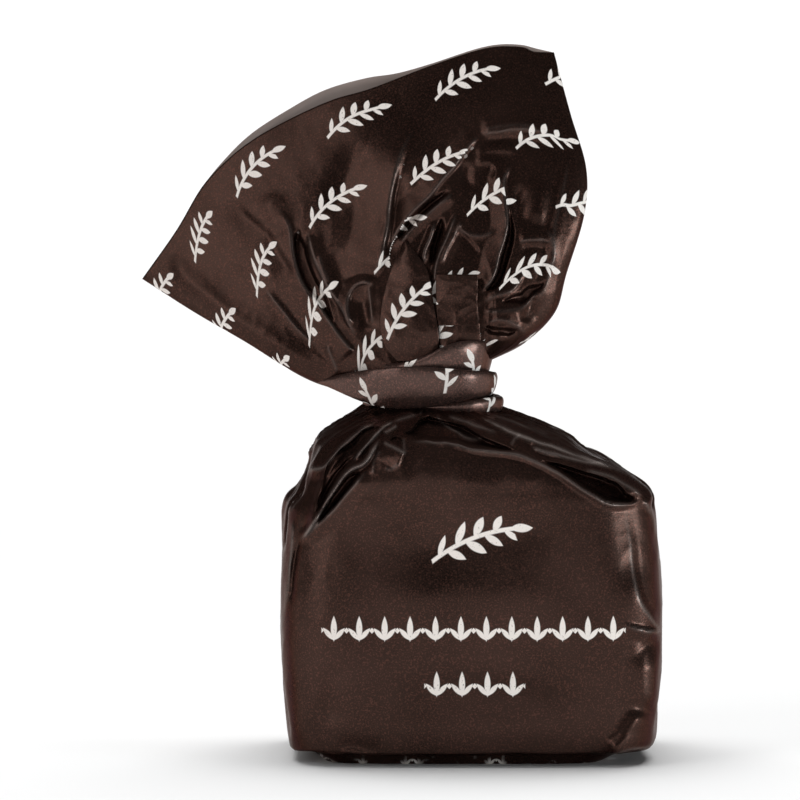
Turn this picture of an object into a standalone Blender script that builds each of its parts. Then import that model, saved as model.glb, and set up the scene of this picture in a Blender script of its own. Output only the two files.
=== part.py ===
# A wrapped chocolate truffle: one printed film folded round the sweet, twisted at the neck and fanned out above it.
# Lengths are in millimetres and scaled to metres when the mesh is made. +Z is up and the printed front faces -Y.
import math

import bmesh
import bpy
import numpy as np
from mathutils import Vector
from mathutils.bvhtree import BVHTree

MM = 0.001

# Driving sizes of the whole pack
PACK_WIDTH = 32.0
PACK_DEPTH = 28.0
NECK_HEIGHT = 30.0
NECK_CENTRE_X = -3.9
NECK_HALF_DEPTH = 4.1
FILM_WALL = 0.5
MOUTH_DEPTH = 0.30
LEAN_BACK = 1.4

# How finely the film is divided
RING_POINTS = 76
BODY_ROWS = 27
NECK_ROWS = 3
FAN_ROWS = 19
MOUTH_ROWS = 3

# Body outline: height, then left, right, front and back as shares of the half width and half depth, squareness of the plan
BODY_STATIONS = (
    (0.0, -0.887, 0.762, -0.886, 0.886, 4.2),
    (0.9, -0.956, 0.869, -0.936, 0.936, 4.4),
    (1.5, -0.975, 0.950, -0.979, 0.979, 4.6),
    (4.5, -0.994, 0.975, -1.000, 1.000, 5.4),
    (9.5, -1.006, 0.991, -1.007, 1.000, 5.6),
    (14.0, -1.006, 0.994, -1.007, 0.993, 5.6),
    (18.5, -1.000, 0.975, -1.000, 0.979, 5.2),
    (21.2, -0.988, 0.956, -0.993, 0.957, 4.8),
    (22.6, -0.938, 0.944, -0.986, 0.929, 4.4),
    (24.2, -0.894, 0.806, -0.957, 0.886, 4.0),
    (25.8, -0.856, 0.581, -0.900, 0.786, 3.4),
    (27.2, -0.812, 0.394, -0.786, 0.657, 2.9),
    (28.4, -0.694, 0.212, -0.600, 0.471, 2.5),
    (29.3, -0.550, 0.081, -0.371, 0.350, 2.2),
)

# Outline of the fan, read as x and z from the neck to the rim and along the rim
FAN_LEFT = ((-8.8, 30.3), (-13.8, 31.6), (-19.4, 34.9), (-23.8, 37.4), (-28.3, 40.2))
FAN_RIGHT = (
    (1.2, 33.2), (4.4, 34.8), (7.0, 37.4), (8.0, 40.7), (9.5, 45.6),
    (9.7, 49.6), (8.4, 54.2), (7.0, 59.3),
)
RIM_FRONT = (
    (-28.3, 40.2), (-25.4, 44.3), (-23.2, 48.0), (-21.2, 50.2), (-18.8, 52.1), (-15.6, 53.9),
    (-12.0, 55.5), (-8.6, 56.5), (-3.6, 58.4), (1.1, 59.9), (4.1, 60.0), (5.3, 59.4), (7.0, 59.3),
)
RIM_BACK = (
    (-28.3, 40.2), (-25.4, 44.3), (-23.2, 48.0), (-21.2, 50.3), (-18.9, 52.4), (-15.8, 54.2),
    (-12.6, 55.9), (-9.1, 57.2), (-6.5, 57.6), (-3.6, 58.5), (1.1, 60.1), (4.1, 60.3), (7.0, 59.6),
)

# Folds of the film: side, height, width to the left and right of the path, start and end taper, path in x and z
FOLDS = (
    # lip along the top of the front panel, and the deep pocket above it
    ("front", 0.9, 1.0, 3.0, 0.20, 0.15, ((-7.4, 25.2), (-3.6, 26.2), (2.3, 26.0), (8.6, 23.2), (13.7, 21.4))),
    ("front", -3.4, 2.2, 1.6, 0.30, 0.15, ((-5.0, 28.4), (-0.3, 28.0), (4.0, 27.2), (8.2, 25.5), (11.6, 23.8), (14.4, 22.3))),
    # shoulder ridges on the right
    ("front", 0.8, 0.7, 0.7, 0.15, 0.20, ((0.6, 29.2), (5.7, 28.0), (9.9, 26.4), (14.3, 23.7))),
    # ridges that fan out from the neck down the left shoulder, with valleys between
    ("front", 0.8, 0.7, 0.5, 0.10, 0.30, ((-8.6, 29.0), (-11.3, 27.3), (-12.8, 25.0), (-14.4, 21.2))),
    ("front", -1.1, 0.7, 0.5, 0.10, 0.25, ((-8.0, 28.7), (-10.8, 26.7), (-12.4, 23.9), (-14.0, 19.8))),
    ("front", 0.8, 0.6, 0.5, 0.10, 0.25, ((-7.4, 28.4), (-9.9, 26.2), (-11.6, 23.2), (-13.5, 18.4))),
    ("front", -0.9, 0.5, 0.5, 0.10, 0.25, ((-6.9, 28.2), (-9.1, 25.9), (-11.0, 22.6), (-12.9, 18.6))),
    ("front", 0.6, 0.5, 0.6, 0.10, 0.25, ((-6.2, 28.0), (-8.2, 25.6), (-10.3, 22.3), (-12.4, 18.8))),
    # sheen ridge and pinch on the right side, and the tucked corner under it
    ("front", 0.5, 1.0, 0.9, 0.15, 0.15, ((12.6, 21.6), (13.5, 19.0), (14.0, 16.0), (15.2, 11.6))),
    ("front", -0.7, 0.8, 0.8, 0.30, 0.10, ((13.0, 14.2), (14.2, 12.6), (15.6, 11.2))),
    ("front", 0.5, 0.9, 0.8, 0.20, 0.20, ((14.6, 10.6), (14.8, 8.0), (14.2, 5.0))),
    ("front", -0.6, 0.8, 0.7, 0.30, 0.35, ((14.0, 6.2), (12.9, 4.4), (11.2, 3.0))),
    # gusset down the left side
    ("front", -0.4, 0.5, 0.9, 0.20, 0.20, ((-14.6, 21.0), (-14.9, 16.5), (-15.0, 9.7), (-14.8, 4.5))),
    # folds of the back of the body
    ("back", -1.4, 1.2, 1.0, 0.15, 0.25, ((-1.0, 28.4), (2.6, 27.0), (7.0, 24.4), (11.2, 20.8))),
    ("back", 0.8, 0.9, 0.9, 0.15, 0.25, ((0.2, 29.0), (5.4, 27.6), (9.8, 25.2), (13.6, 21.4))),
    ("back", -1.3, 1.0, 1.2, 0.15, 0.25, ((-6.4, 28.3), (-9.0, 25.8), (-11.4, 21.8), (-12.6, 17.4))),
    ("back", 0.7, 0.9, 0.7, 0.15, 0.25, ((-5.2, 28.2), (-7.2, 25.2), (-9.4, 20.6), (-10.2, 16.0))),
    ("back", -0.7, 0.8, 0.8, 0.15, 0.25, ((-2.8, 28.0), (-3.2, 24.6), (-2.4, 20.0))),
    # folds of the front of the fan, gathered at the neck
    ("fan front", 0.35, 1.1, 1.1, 0.10, 0.20, ((-26.1, 41.4), (-23.1, 39.3), (-18.9, 36.6), (-12.1, 32.4))),
    ("fan front", -0.5, 1.2, 0.8, 0.35, 0.05, ((-19.3, 46.6), (-17.6, 43.2), (-14.6, 38.1), (-10.4, 32.2))),
    ("fan front", 0.5, 1.3, 0.5, 0.30, 0.05, ((-16.6, 44.9), (-15.2, 41.7), (-13.6, 38.1), (-10.4, 33.4))),
    ("fan front", -1.5, 0.5, 1.4, 0.25, 0.05, ((-15.3, 45.2), (-13.9, 41.7), (-12.2, 38.1), (-9.8, 33.8))),
    ("fan front", -0.9, 0.9, 0.9, 0.25, 0.05, ((-8.9, 47.0), (-9.3, 43.0), (-9.8, 39.0), (-8.4, 34.4))),
    ("fan front", 0.9, 1.3, 1.4, 0.45, 0.05, ((-4.9, 53.4), (-6.6, 47.8), (-7.9, 42.8), (-7.0, 35.0))),
    ("fan front", -1.0, 0.6, 1.6, 0.30, 0.10, ((0.4, 52.9), (-2.8, 48.7), (-5.0, 44.4), (-4.4, 36.0))),
    ("fan front", 0.8, 1.4, 0.7, 0.30, 0.10, ((1.6, 51.4), (-0.8, 47.4), (-2.0, 43.0), (-2.0, 36.0))),
    ("fan front", -1.0, 0.8, 1.0, 0.30, 0.05, ((4.0, 50.5), (2.9, 45.4), (1.6, 40.5), (0.4, 35.1))),
    ("fan front", 0.6, 0.9, 0.9, 0.30, 0.05, ((6.6, 50.2), (5.6, 45.0), (4.0, 40.0), (1.2, 35.0))),
    ("fan front", -0.7, 0.8, 0.8, 0.30, 0.05, ((7.8, 46.0), (6.4, 41.4), (4.0, 37.4), (1.6, 34.6))),
    # folds of the back of the fan
    ("fan back", -1.1, 1.2, 1.2, 0.30, 0.05, ((-20.0, 44.0), (-16.4, 39.6), (-9.0, 32.8))),
    ("fan back", 0.7, 1.3, 1.2, 0.30, 0.05, ((-15.4, 48.4), (-12.4, 42.4), (-7.2, 33.6))),
    ("fan back", -1.2, 1.1, 1.0, 0.30, 0.05, ((-9.6, 49.8), (-8.0, 43.2), (-4.8, 34.4))),
    ("fan back", 0.8, 1.3, 1.4, 0.30, 0.05, ((-3.4, 51.6), (-3.4, 44.0), (-3.0, 34.8))),
    ("fan back", -1.2, 1.0, 1.0, 0.30, 0.05, ((2.6, 50.2), (1.4, 43.0), (-0.8, 34.8))),
    ("fan back", 0.6, 0.8, 1.0, 0.30, 0.05, ((6.4, 47.2), (4.6, 40.6), (0.6, 34.6))),
)

# Strips wound round the neck: x, y, top and bottom at each place, from the front left round to the back
STRIP_THICKNESS = 1.1
PLUG_BOTTOM = 28.2
PLUG_TOP = 34.3
PLUG_HALF_WIDTH = 5.1
PLUG_HALF_DEPTH = 4.3
STRIPS = (
    (
        (-12.4, -1.0, 31.6, 31.1), (-9.4, -2.6, 32.5, 30.1), (-6.2, -4.5, 32.9, 29.5), (-2.4, -5.2, 32.9, 29.6),
        (0.7, -3.9, 32.5, 30.2), (1.9, -0.6, 32.3, 30.4), (0.4, 3.2, 32.4, 30.0), (-3.6, 4.7, 32.3, 29.6),
        (-7.4, 3.6, 32.2, 29.9), (-8.8, 1.0, 31.8, 30.4),
    ),
    (
        (-7.4, -3.6, 32.9, 32.2), (-4.5, -4.6, 33.6, 32.2), (-1.5, -4.5, 34.4, 32.2), (0.6, -3.0, 34.9, 32.1),
        (1.4, -0.4, 34.9, 31.6), (0.2, 2.8, 34.6, 31.4), (-3.8, 4.1, 34.0, 31.4), (-7.2, 2.6, 33.0, 31.6),
    ),
    (
        (-3.6, -3.6, 29.9, 29.3), (-1.2, -4.3, 30.2, 29.0), (1.0, -3.3, 30.6, 28.9), (1.9, 0.0, 30.8, 29.0),
        (0.4, 3.4, 30.8, 29.0), (-4.0, 4.4, 30.6, 29.0), (-8.0, 3.0, 30.4, 29.2), (-8.9, 0.0, 30.2, 29.5),
    ),
)

# Flaps of film that lie up against the front of the fan: height, left and right at each place
FLAP_LIFT = 0.7
FLAP_ROOT = 2.0
FLAPS = (
    ((33.0, -7.6, -3.4), (34.7, -8.1, -3.1), (37.0, -8.2, -2.8), (39.0, -7.7, -2.9), (41.2, -6.7, -3.9), (43.0, -5.6, -5.1)),
    ((34.0, -3.0, 0.7), (36.0, -2.9, 0.7), (38.5, -2.9, 0.7), (41.1, -3.0, 0.5)),
)

FOLD_STEPS = 6
FOLD_CREST = 1.4
FAN_FOLDS = 1.5
FINE_RING = 240
FINE_ROWS = 120
STRIP_STATIONS = 30
FLAP_STATIONS = 10
FLAP_COLUMNS = 6


def smooth_path(points, steps):
    """Catmull-Rom curve through the points, with this many steps in each span."""
    points = np.asarray(points, float)
    padded = np.vstack([2 * points[0] - points[1], points, 2 * points[-1] - points[-2]])
    out = []
    for i in range(len(points) - 1):
        a, b, c, d = padded[i : i + 4]
        t = np.linspace(0.0, 1.0, steps, endpoint=False)[:, None]
        out.append(0.5 * (2 * b + (c - a) * t + (2 * a - 5 * b + 4 * c - d) * t**2 + (3 * b - a - 3 * c + d) * t**3))
    out.append(points[-1:])
    return np.vstack(out)


def at_share(points, share):
    """Points at these shares of a path's length."""
    path = smooth_path(points, 12)
    run = np.concatenate([[0.0], np.cumsum(np.linalg.norm(np.diff(path, axis=0), axis=1))])
    share = np.asarray(share, float) * run[-1]
    return np.stack([np.interp(share, run, path[:, k]) for k in range(path.shape[1])], axis=-1)


def smoothstep(x):
    x = np.clip(x, 0.0, 1.0)
    return x * x * (3 - 2 * x)


def fold_height(points, fold, path):
    """Height of one fold at each point, from its distance to the fold's path."""
    _, height, left, right, start, end, _ = fold
    best = np.full(points.shape[:-1], np.inf)
    signed = np.zeros(best.shape)
    along = np.zeros(best.shape)
    run = np.concatenate([[0.0], np.cumsum(np.linalg.norm(np.diff(path, axis=0), axis=1))])
    for i in range(len(path) - 1):
        step = path[i + 1] - path[i]
        length = np.linalg.norm(step)
        away = points - path[i]
        held = np.clip((away @ step) / length**2, 0.0, 1.0)
        away = away - held[..., None] * step
        distance = np.linalg.norm(away, axis=-1)
        closer = distance < best
        best = np.where(closer, distance, best)
        signed = np.where(closer, step[0] * away[..., 2] - step[2] * away[..., 0], signed)
        along = np.where(closer, (run[i] + held * length) / run[-1], along)
    width = np.where(signed > 0, left, right)
    taper = smoothstep(along / start) * smoothstep((1 - along) / end)
    return height * np.exp(-((best / width) ** FOLD_CREST)) * taper


def laid_on(fold, surface):
    """The fold's path, given in the front view, laid on the front or the back of a surface."""
    flat = smooth_path(fold[-1], FOLD_STEPS)
    side = surface[..., 1] < 0 if "front" in fold[0] else surface[..., 1] > 0
    near = surface[side]
    out = []
    for x, z in flat:
        gap = np.hypot(near[:, 0] - x, near[:, 2] - z)
        weight = np.exp(-((gap / max(gap.min() + 0.25, 0.35)) ** 2))
        out.append((x, float(np.sum(near[:, 1] * weight) / np.sum(weight)), z))
    return np.asarray(out)


def ring_shares(count):
    """Angle round a ring, from the left edge across the front to the right edge and back behind."""
    return 2 * math.pi * np.arange(count) / count


def body_ring(station, angles):
    """One level section of the body, its points spaced evenly along the outline."""
    z, left, right, front, back, power = station
    dense = np.linspace(0.0, 2 * math.pi, 721)
    c, s = np.cos(dense), np.sin(dense)
    x = (left + right) / 2 - (right - left) / 2 * np.sign(c) * np.abs(c) ** (2 / power)
    depth = np.where(s > 0, -front, back)
    y = -depth * np.sign(s) * np.abs(s) ** (2 / power)
    run = np.concatenate([[0.0], np.cumsum(np.hypot(np.diff(x), np.diff(y)))])
    quarter = [run[0], run[180], run[360], run[540], run[720]]
    where = np.interp(angles, np.linspace(0.0, 2 * math.pi, 5), quarter)
    return np.stack([np.interp(where, run, x), np.interp(where, run, y), np.full(len(angles), z)], axis=-1)


def body_grid(angles, rows):
    """Sections of the body, closer together where the shoulders turn in."""
    table = np.asarray(BODY_STATIONS) * (1, PACK_WIDTH / 2, PACK_WIDTH / 2, PACK_DEPTH / 2, PACK_DEPTH / 2, 1)
    share = np.linspace(0.0, 1.0, rows)
    dense = smooth_path(table, 12)
    middle = (dense[:, 1] + dense[:, 2]) / 2
    half = (dense[:, 2] - dense[:, 1]) / 2 - dense[:, 3]
    run = np.concatenate([[0.0], np.cumsum(np.hypot(np.hypot(np.diff(half), np.diff(middle)), np.diff(dense[:, 0])))])
    picked = np.stack([np.interp(share * run[-1], run, dense[:, k]) for k in range(6)], axis=-1)
    return np.stack([body_ring(row, angles) for row in picked])


def fan_surface(angles, t, wall):
    """One ring of the fan: t runs from the neck to the rim. A wall above zero gives the inside of the mouth."""
    c, s = np.cos(angles), np.sin(angles)
    across = (1 - c) / 2
    inset = wall * 1.3 / (PACK_WIDTH * (0.35 + 0.65 * t))
    across = inset + (1 - 2 * inset) * across
    left, right = at_share(FAN_LEFT, [t])[0], at_share(FAN_RIGHT, [t])[0]
    low_l, low_r = np.asarray(FAN_LEFT[0]), np.asarray(FAN_RIGHT[0])
    bottom = low_l + (low_r - low_l) * across[:, None]
    front, back = at_share(RIM_FRONT, across), at_share(RIM_BACK, across)
    mix = smoothstep(0.5 + 0.5 * s)[:, None] if wall == 0 else (s > 0)[:, None]
    top = front * mix + back * (1 - mix)
    a = across[:, None]
    ends = np.asarray(RIM_FRONT[0]), np.asarray(RIM_FRONT[-1])
    corners = (1 - t) * ((1 - a) * low_l + a * low_r) + t * ((1 - a) * ends[0] + a * ends[1])
    flat = (1 - t) * bottom + t * top + (1 - a) * left + a * right - corners
    x, z = flat[:, 0], flat[:, 1]
    half = np.interp(t, (0.0, 0.12, 0.3, 0.6, 1.0), (NECK_HALF_DEPTH, 3.9, 3.3, 2.2, 1.35))
    half = half * (1 + 0.25 * across * math.sin(math.pi * t))
    round_power = 1.0 - 0.45 * smoothstep(t * 2)
    half = half * np.abs(s) ** round_power
    middle = LEAN_BACK * t**2 + 0.9 * t * np.sin(2 * math.pi * (0.85 * across + 0.12))
    if wall > 0:
        half = np.maximum(half - wall, 0.12)
        side = np.where(s >= 0, -1.0, 1.0)
    else:
        side = -np.sign(s)
    return np.stack([x, middle + side * half, z], axis=-1), middle


def gather(angles, below, size):
    """Small pleats gathered at the neck, fading out below it."""
    waves = 0.6 * np.sin(13 * angles + 0.4) + 0.4 * np.sin(9 * angles + 2.1)
    return size * waves * np.exp(-below / 4.5)


def grid_normals(grid):
    down = np.gradient(grid, axis=0)
    round_ring = np.roll(grid, -1, axis=1) - np.roll(grid, 1, axis=1)
    normal = np.cross(round_ring, down)
    return normal / np.maximum(np.linalg.norm(normal, axis=-1, keepdims=True), 1e-9)


def wrapper_grid(count, body_rows, neck_rows, fan_rows, mouth_rows, wall):
    """Every ring of the film, from the base up to the rim and down inside the mouth."""
    angles = ring_shares(count)
    s = np.sin(angles)
    body = body_grid(angles, body_rows)
    normal = grid_normals(body)
    z = body[..., 2]
    smooth_body = body_grid(ring_shares(FINE_RING), FINE_ROWS)
    push = gather(angles[None, :], NECK_HEIGHT - z, 0.45)
    front = smoothstep(0.5 - body[..., 1] / 5)
    rest = smoothstep((z - 0.6) / 1.5)
    for fold in FOLDS:
        if fold[0] in ("front", "back"):
            path = laid_on(fold, smooth_body)
            push = push + fold_height(body, fold, path) * (front if fold[0] == "front" else 1 - front)
    body = body + normal * (push * rest)[..., None]
    fan = []
    middles = []
    for t in np.linspace(0.0, 1.0, fan_rows):
        ring, middle = fan_surface(angles, t, 0.0)
        fan.append(ring)
        middles.append(middle)
    fan, middles = np.stack(fan), np.stack(middles)
    flat = fan * (1.0, 0.0, 1.0)
    t = np.linspace(0.0, 1.0, fan_rows)[:, None]
    push = np.zeros(t.shape)
    for fold in FOLDS:
        if fold[0].startswith("fan"):
            path = smooth_path([(x, 0.0, z) for x, z in fold[-1]], FOLD_STEPS)
            push = push + FAN_FOLDS * fold_height(flat, fold, path) * ((s > 0) if fold[0] == "fan front" else (s < 0))
    push = push * np.abs(s) ** 0.5 * (1 - 0.6 * smoothstep((t - 0.7) / 0.3))
    push = push + 0.3 * np.abs(s) * np.sin(11 * angles + 1.0) * np.exp(-t / 0.25)
    half = np.abs(fan[..., 1] - middles)
    least = np.minimum(half, (wall + 0.25) * np.ones(half.shape))
    half = np.maximum(half + push, least)
    fan[..., 1] = middles - np.sign(s) * half
    last, first = body[-1], fan[0]
    steps = np.linspace(0.0, 1.0, neck_rows + 2)[1:-1]
    neck = np.stack([last * (1 - k) + first * k for k in steps])
    mouth = []
    for t in np.linspace(1.0, 1.0 - MOUTH_DEPTH, mouth_rows):
        ring, middle = fan_surface(angles, t, wall)
        shrink = (t - (1.0 - MOUTH_DEPTH)) / MOUTH_DEPTH
        ring[:, 1] = middle + (ring[:, 1] - middle) * (0.35 + 0.65 * shrink)
        mouth.append(ring)
    return np.concatenate([body, neck, fan, np.stack(mouth)])


def mesh_object(name, points, faces):
    mesh = bpy.data.meshes.new(name)
    mesh.from_pydata([tuple(float(v) * MM for v in p) for p in points], [], faces)
    work = bmesh.new()
    work.from_mesh(mesh)
    bmesh.ops.recalc_face_normals(work, faces=work.faces)
    work.to_mesh(mesh)
    work.free()
    obj = bpy.data.objects.new(name, mesh)
    bpy.context.scene.collection.objects.link(obj)
    return obj


def wrapper_object():
    grid = wrapper_grid(RING_POINTS, BODY_ROWS, NECK_ROWS, FAN_ROWS, MOUTH_ROWS, FILM_WALL)
    rows, count = grid.shape[:2]
    points = [p for ring in grid for p in ring]
    faces = []
    for r in range(rows - 1):
        for i in range(count):
            j = (i + 1) % count
            faces.append((r * count + i, r * count + j, (r + 1) * count + j, (r + 1) * count + i))
    inner = len(points)
    base = grid[0]
    points += [(0.55 * p[0], 0.55 * p[1], 0.0) for p in base]
    points.append((0.0, 0.0, 0.0))
    for i in range(count):
        j = (i + 1) % count
        faces.append((j, i, inner + i, inner + j))
        faces.append((inner + j, inner + i, len(points) - 1))
    last = (rows - 1) * count
    faces.append((last, last + 1, last + count - 1))
    for i in range(1, count // 2 - 1):
        faces.append((last + i, last + i + 1, last + count - i - 1, last + count - i))
    i = count // 2 - 1
    faces.append((last + i, last + i + 1, last + i + 2))
    return mesh_object("wrapper", points, faces)


def strip_object(name, stations):
    """A flattened strip of film wound round the neck, its ends sunk into the film."""
    path = at_share(stations, np.linspace(0.0, 1.0, STRIP_STATIONS))
    ahead = np.gradient(path[:, :2], axis=0)
    ahead /= np.linalg.norm(ahead, axis=1, keepdims=True)
    out = np.stack([ahead[:, 1], -ahead[:, 0]], axis=-1)
    points = []
    corners = ((0.5, -0.3), (0.5, 0.3), (0.3, 0.47), (0.0, 0.5), (-0.4, 0.45), (-0.4, -0.45), (0.0, -0.5), (0.3, -0.47))
    for k in range(STRIP_STATIONS):
        x, y, top, bottom = path[k]
        for across, up in corners:
            x_out = x + out[k, 0] * across * STRIP_THICKNESS
            y_out = y + out[k, 1] * across * STRIP_THICKNESS
            points.append((x_out, y_out, (top + bottom) / 2 + up * (top - bottom)))
    n = len(corners)
    faces = [tuple(range(n)), tuple(range(len(points) - n, len(points)))[::-1]]
    for k in range(STRIP_STATIONS - 1):
        for i in range(n):
            j = (i + 1) % n
            faces.append((k * n + i, k * n + j, (k + 1) * n + j, (k + 1) * n + i))
    return mesh_object(name, points, faces)


def plug_object(name):
    """The bunched film inside the neck."""
    count, levels = 24, 3
    points = []
    for z in np.linspace(PLUG_BOTTOM, PLUG_TOP, levels):
        for angle in ring_shares(count):
            points.append((NECK_CENTRE_X - PLUG_HALF_WIDTH * math.cos(angle), -PLUG_HALF_DEPTH * math.sin(angle), z))
    faces = [tuple(range(count)), tuple(range(len(points) - count, len(points)))]
    for k in range(levels - 1):
        for i in range(count):
            j = (i + 1) % count
            faces.append((k * count + i, k * count + j, (k + 1) * count + j, (k + 1) * count + i))
    return mesh_object(name, points, faces)


def flap_object(name, outline, tree):
    """A flap that follows the front of the fan, standing a little off it and rooted inside it."""
    rows = at_share(outline, np.linspace(0.0, 1.0, FLAP_STATIONS))
    x = np.stack([np.linspace(left, right, FLAP_COLUMNS) for _, left, right in rows])
    z = np.repeat(rows[:, :1], FLAP_COLUMNS, axis=1)
    y = np.zeros(x.shape)
    for place in np.ndindex(x.shape):
        start = Vector((x[place], -2 * PACK_DEPTH, z[place])) * MM
        y[place] = tree.ray_cast(start, Vector((0.0, 1.0, 0.0)))[0].y / MM
    slope = np.stack([np.ones(x.size), x.ravel(), z.ravel(), x.ravel() ** 2, z.ravel() ** 2], axis=-1)
    fit = slope @ np.linalg.lstsq(slope, y.ravel(), rcond=None)[0]
    y = 0.7 * fit.reshape(x.shape) + 0.3 * y
    front = np.stack([x, y - FLAP_LIFT, z], axis=-1).reshape(-1, 3).tolist()
    back = np.stack([x, y + FLAP_ROOT, z], axis=-1).reshape(-1, 3).tolist()
    n, m = FLAP_COLUMNS, FLAP_STATIONS
    half = n * m
    faces = []
    for k in range(m - 1):
        for i in range(n - 1):
            quad = (k * n + i, k * n + i + 1, (k + 1) * n + i + 1, (k + 1) * n + i)
            faces.append(quad)
            faces.append(tuple(half + q for q in reversed(quad)))
    edge = [i for i in range(n)] + [k * n + n - 1 for k in range(1, m)]
    edge += [(m - 1) * n + i for i in range(n - 2, -1, -1)] + [k * n for k in range(m - 2, 0, -1)]
    for a, b in zip(edge, edge[1:] + edge[:1]):
        faces.append((a, half + a, half + b, b))
    return mesh_object(name, front + back, faces)


def film_material():
    material = bpy.data.materials.new("wrapper_film")
    material.use_nodes = True
    shader = material.node_tree.nodes["Principled BSDF"]
    shader.inputs["Base Color"].default_value = (0.042, 0.024, 0.020, 1.0)
    shader.inputs["Roughness"].default_value = 0.42
    return material


def keep_outer_shell(mesh):
    """Fills the small voids sealed between layers, by leaving only the shell with the most corners."""
    work = bmesh.new()
    work.from_mesh(mesh)
    left = set(work.verts)
    shells = []
    while left:
        shell, edge = set(), [left.pop()]
        while edge:
            corner = edge.pop()
            shell.add(corner)
            for other in (e.other_vert(corner) for e in corner.link_edges):
                if other in left:
                    left.discard(other)
                    edge.append(other)
        shells.append(shell)
    shells.sort(key=len)
    bmesh.ops.delete(work, geom=[corner for shell in shells[:-1] for corner in shell], context="VERTS")
    work.to_mesh(mesh)
    work.free()


def join(base, others):
    """Unites the others with the base and removes them."""
    group = bpy.data.collections.new("joined")
    for other in others:
        group.objects.link(other)
    modifier = base.modifiers.new("join", "BOOLEAN")
    modifier.operation = "UNION"
    modifier.operand_type = "COLLECTION"
    modifier.collection = group
    modifier.solver = "EXACT"
    bpy.context.view_layer.update()
    graph = bpy.context.evaluated_depsgraph_get()
    united = bpy.data.meshes.new_from_object(base.evaluated_get(graph))
    base.modifiers.remove(modifier)
    keep_outer_shell(united)
    base.data = united
    for other in others:
        bpy.data.objects.remove(other, do_unlink=True)
    bpy.data.collections.remove(group)


def main():
    for old in list(bpy.data.objects):
        bpy.data.objects.remove(old, do_unlink=True)
    wrapper = wrapper_object()
    tree = BVHTree.FromObject(wrapper, bpy.context.evaluated_depsgraph_get())
    parts = [strip_object(f"strip_{i}", stations) for i, stations in enumerate(STRIPS)]
    parts.append(plug_object("plug"))
    parts += [flap_object(f"flap_{i}", outline, tree) for i, outline in enumerate(FLAPS)]
    join(wrapper, parts)
    for face in wrapper.data.polygons:
        face.use_smooth = True
    wrapper.data.materials.clear()
    wrapper.data.materials.append(film_material())


main()
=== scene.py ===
import math

import bmesh
import bpy
import numpy as np
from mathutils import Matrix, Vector, noise
from mathutils.bvhtree import BVHTree


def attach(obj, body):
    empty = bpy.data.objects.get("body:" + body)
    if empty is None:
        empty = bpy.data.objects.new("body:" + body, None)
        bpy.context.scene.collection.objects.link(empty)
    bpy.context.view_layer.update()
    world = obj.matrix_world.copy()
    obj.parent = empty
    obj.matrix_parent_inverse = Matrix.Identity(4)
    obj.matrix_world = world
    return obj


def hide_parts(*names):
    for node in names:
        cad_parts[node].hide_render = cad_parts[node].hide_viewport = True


bl_info = {
    "name": "Wrapped truffle",
    "version": (1, 0, 0),
    "blender": (4, 5, 0),
    "location": "3D View > Sidebar > Truffle",
    "description": "Builds the printed film wrapper of a chocolate truffle and a plain studio round it",
    "category": "Object",
}

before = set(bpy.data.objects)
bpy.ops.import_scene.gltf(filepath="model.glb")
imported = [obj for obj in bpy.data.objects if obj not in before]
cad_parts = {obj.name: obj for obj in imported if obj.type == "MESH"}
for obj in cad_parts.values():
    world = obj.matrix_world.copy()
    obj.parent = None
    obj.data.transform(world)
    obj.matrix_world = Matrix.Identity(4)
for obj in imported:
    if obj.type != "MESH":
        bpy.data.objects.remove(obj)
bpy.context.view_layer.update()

MM = 0.001
NODE = "wrapper"
BODY = "root"

# Sizes of the pack that everything else is measured from
PACK_WIDTH = 32.0
PACK_DEPTH = 28.0
NECK_HEIGHT = 30.0
NECK_CENTRE_X = -3.9
NECK_HALF_DEPTH = 4.1
LEAN_BACK = 4.2
PANEL_TOP = 24.5
PANEL_HALF_WIDTH = 13.0
BASE_EDGE = 1.05

# Body outline: height, then left, right, front and back as shares of the half width and half depth,
# and how square the section is
BODY_STATIONS = (
    (0.0, -0.888, 0.762, -0.886, 0.886, 4.2),
    (0.9, -0.956, 0.869, -0.936, 0.936, 4.4),
    (1.5, -0.975, 0.950, -0.979, 0.979, 4.6),
    (4.5, -0.994, 0.975, -1.000, 1.000, 5.4),
    (9.5, -1.006, 0.991, -1.007, 1.000, 5.6),
    (14.0, -1.006, 0.994, -1.007, 0.993, 5.6),
    (18.5, -1.000, 0.975, -1.000, 0.979, 5.2),
    (21.2, -0.988, 0.956, -1.000, 0.957, 4.8),
    (22.6, -0.938, 0.944, -0.999, 0.929, 4.4),
    (24.2, -0.894, 0.806, -0.990, 0.886, 4.0),
    (25.8, -0.856, 0.600, -0.945, 0.786, 3.4),
    (27.2, -0.812, 0.475, -0.820, 0.657, 2.9),
    (28.4, -0.694, 0.300, -0.600, 0.471, 2.5),
    (29.3, -0.550, 0.100, -0.371, 0.350, 2.2),
)

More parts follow.
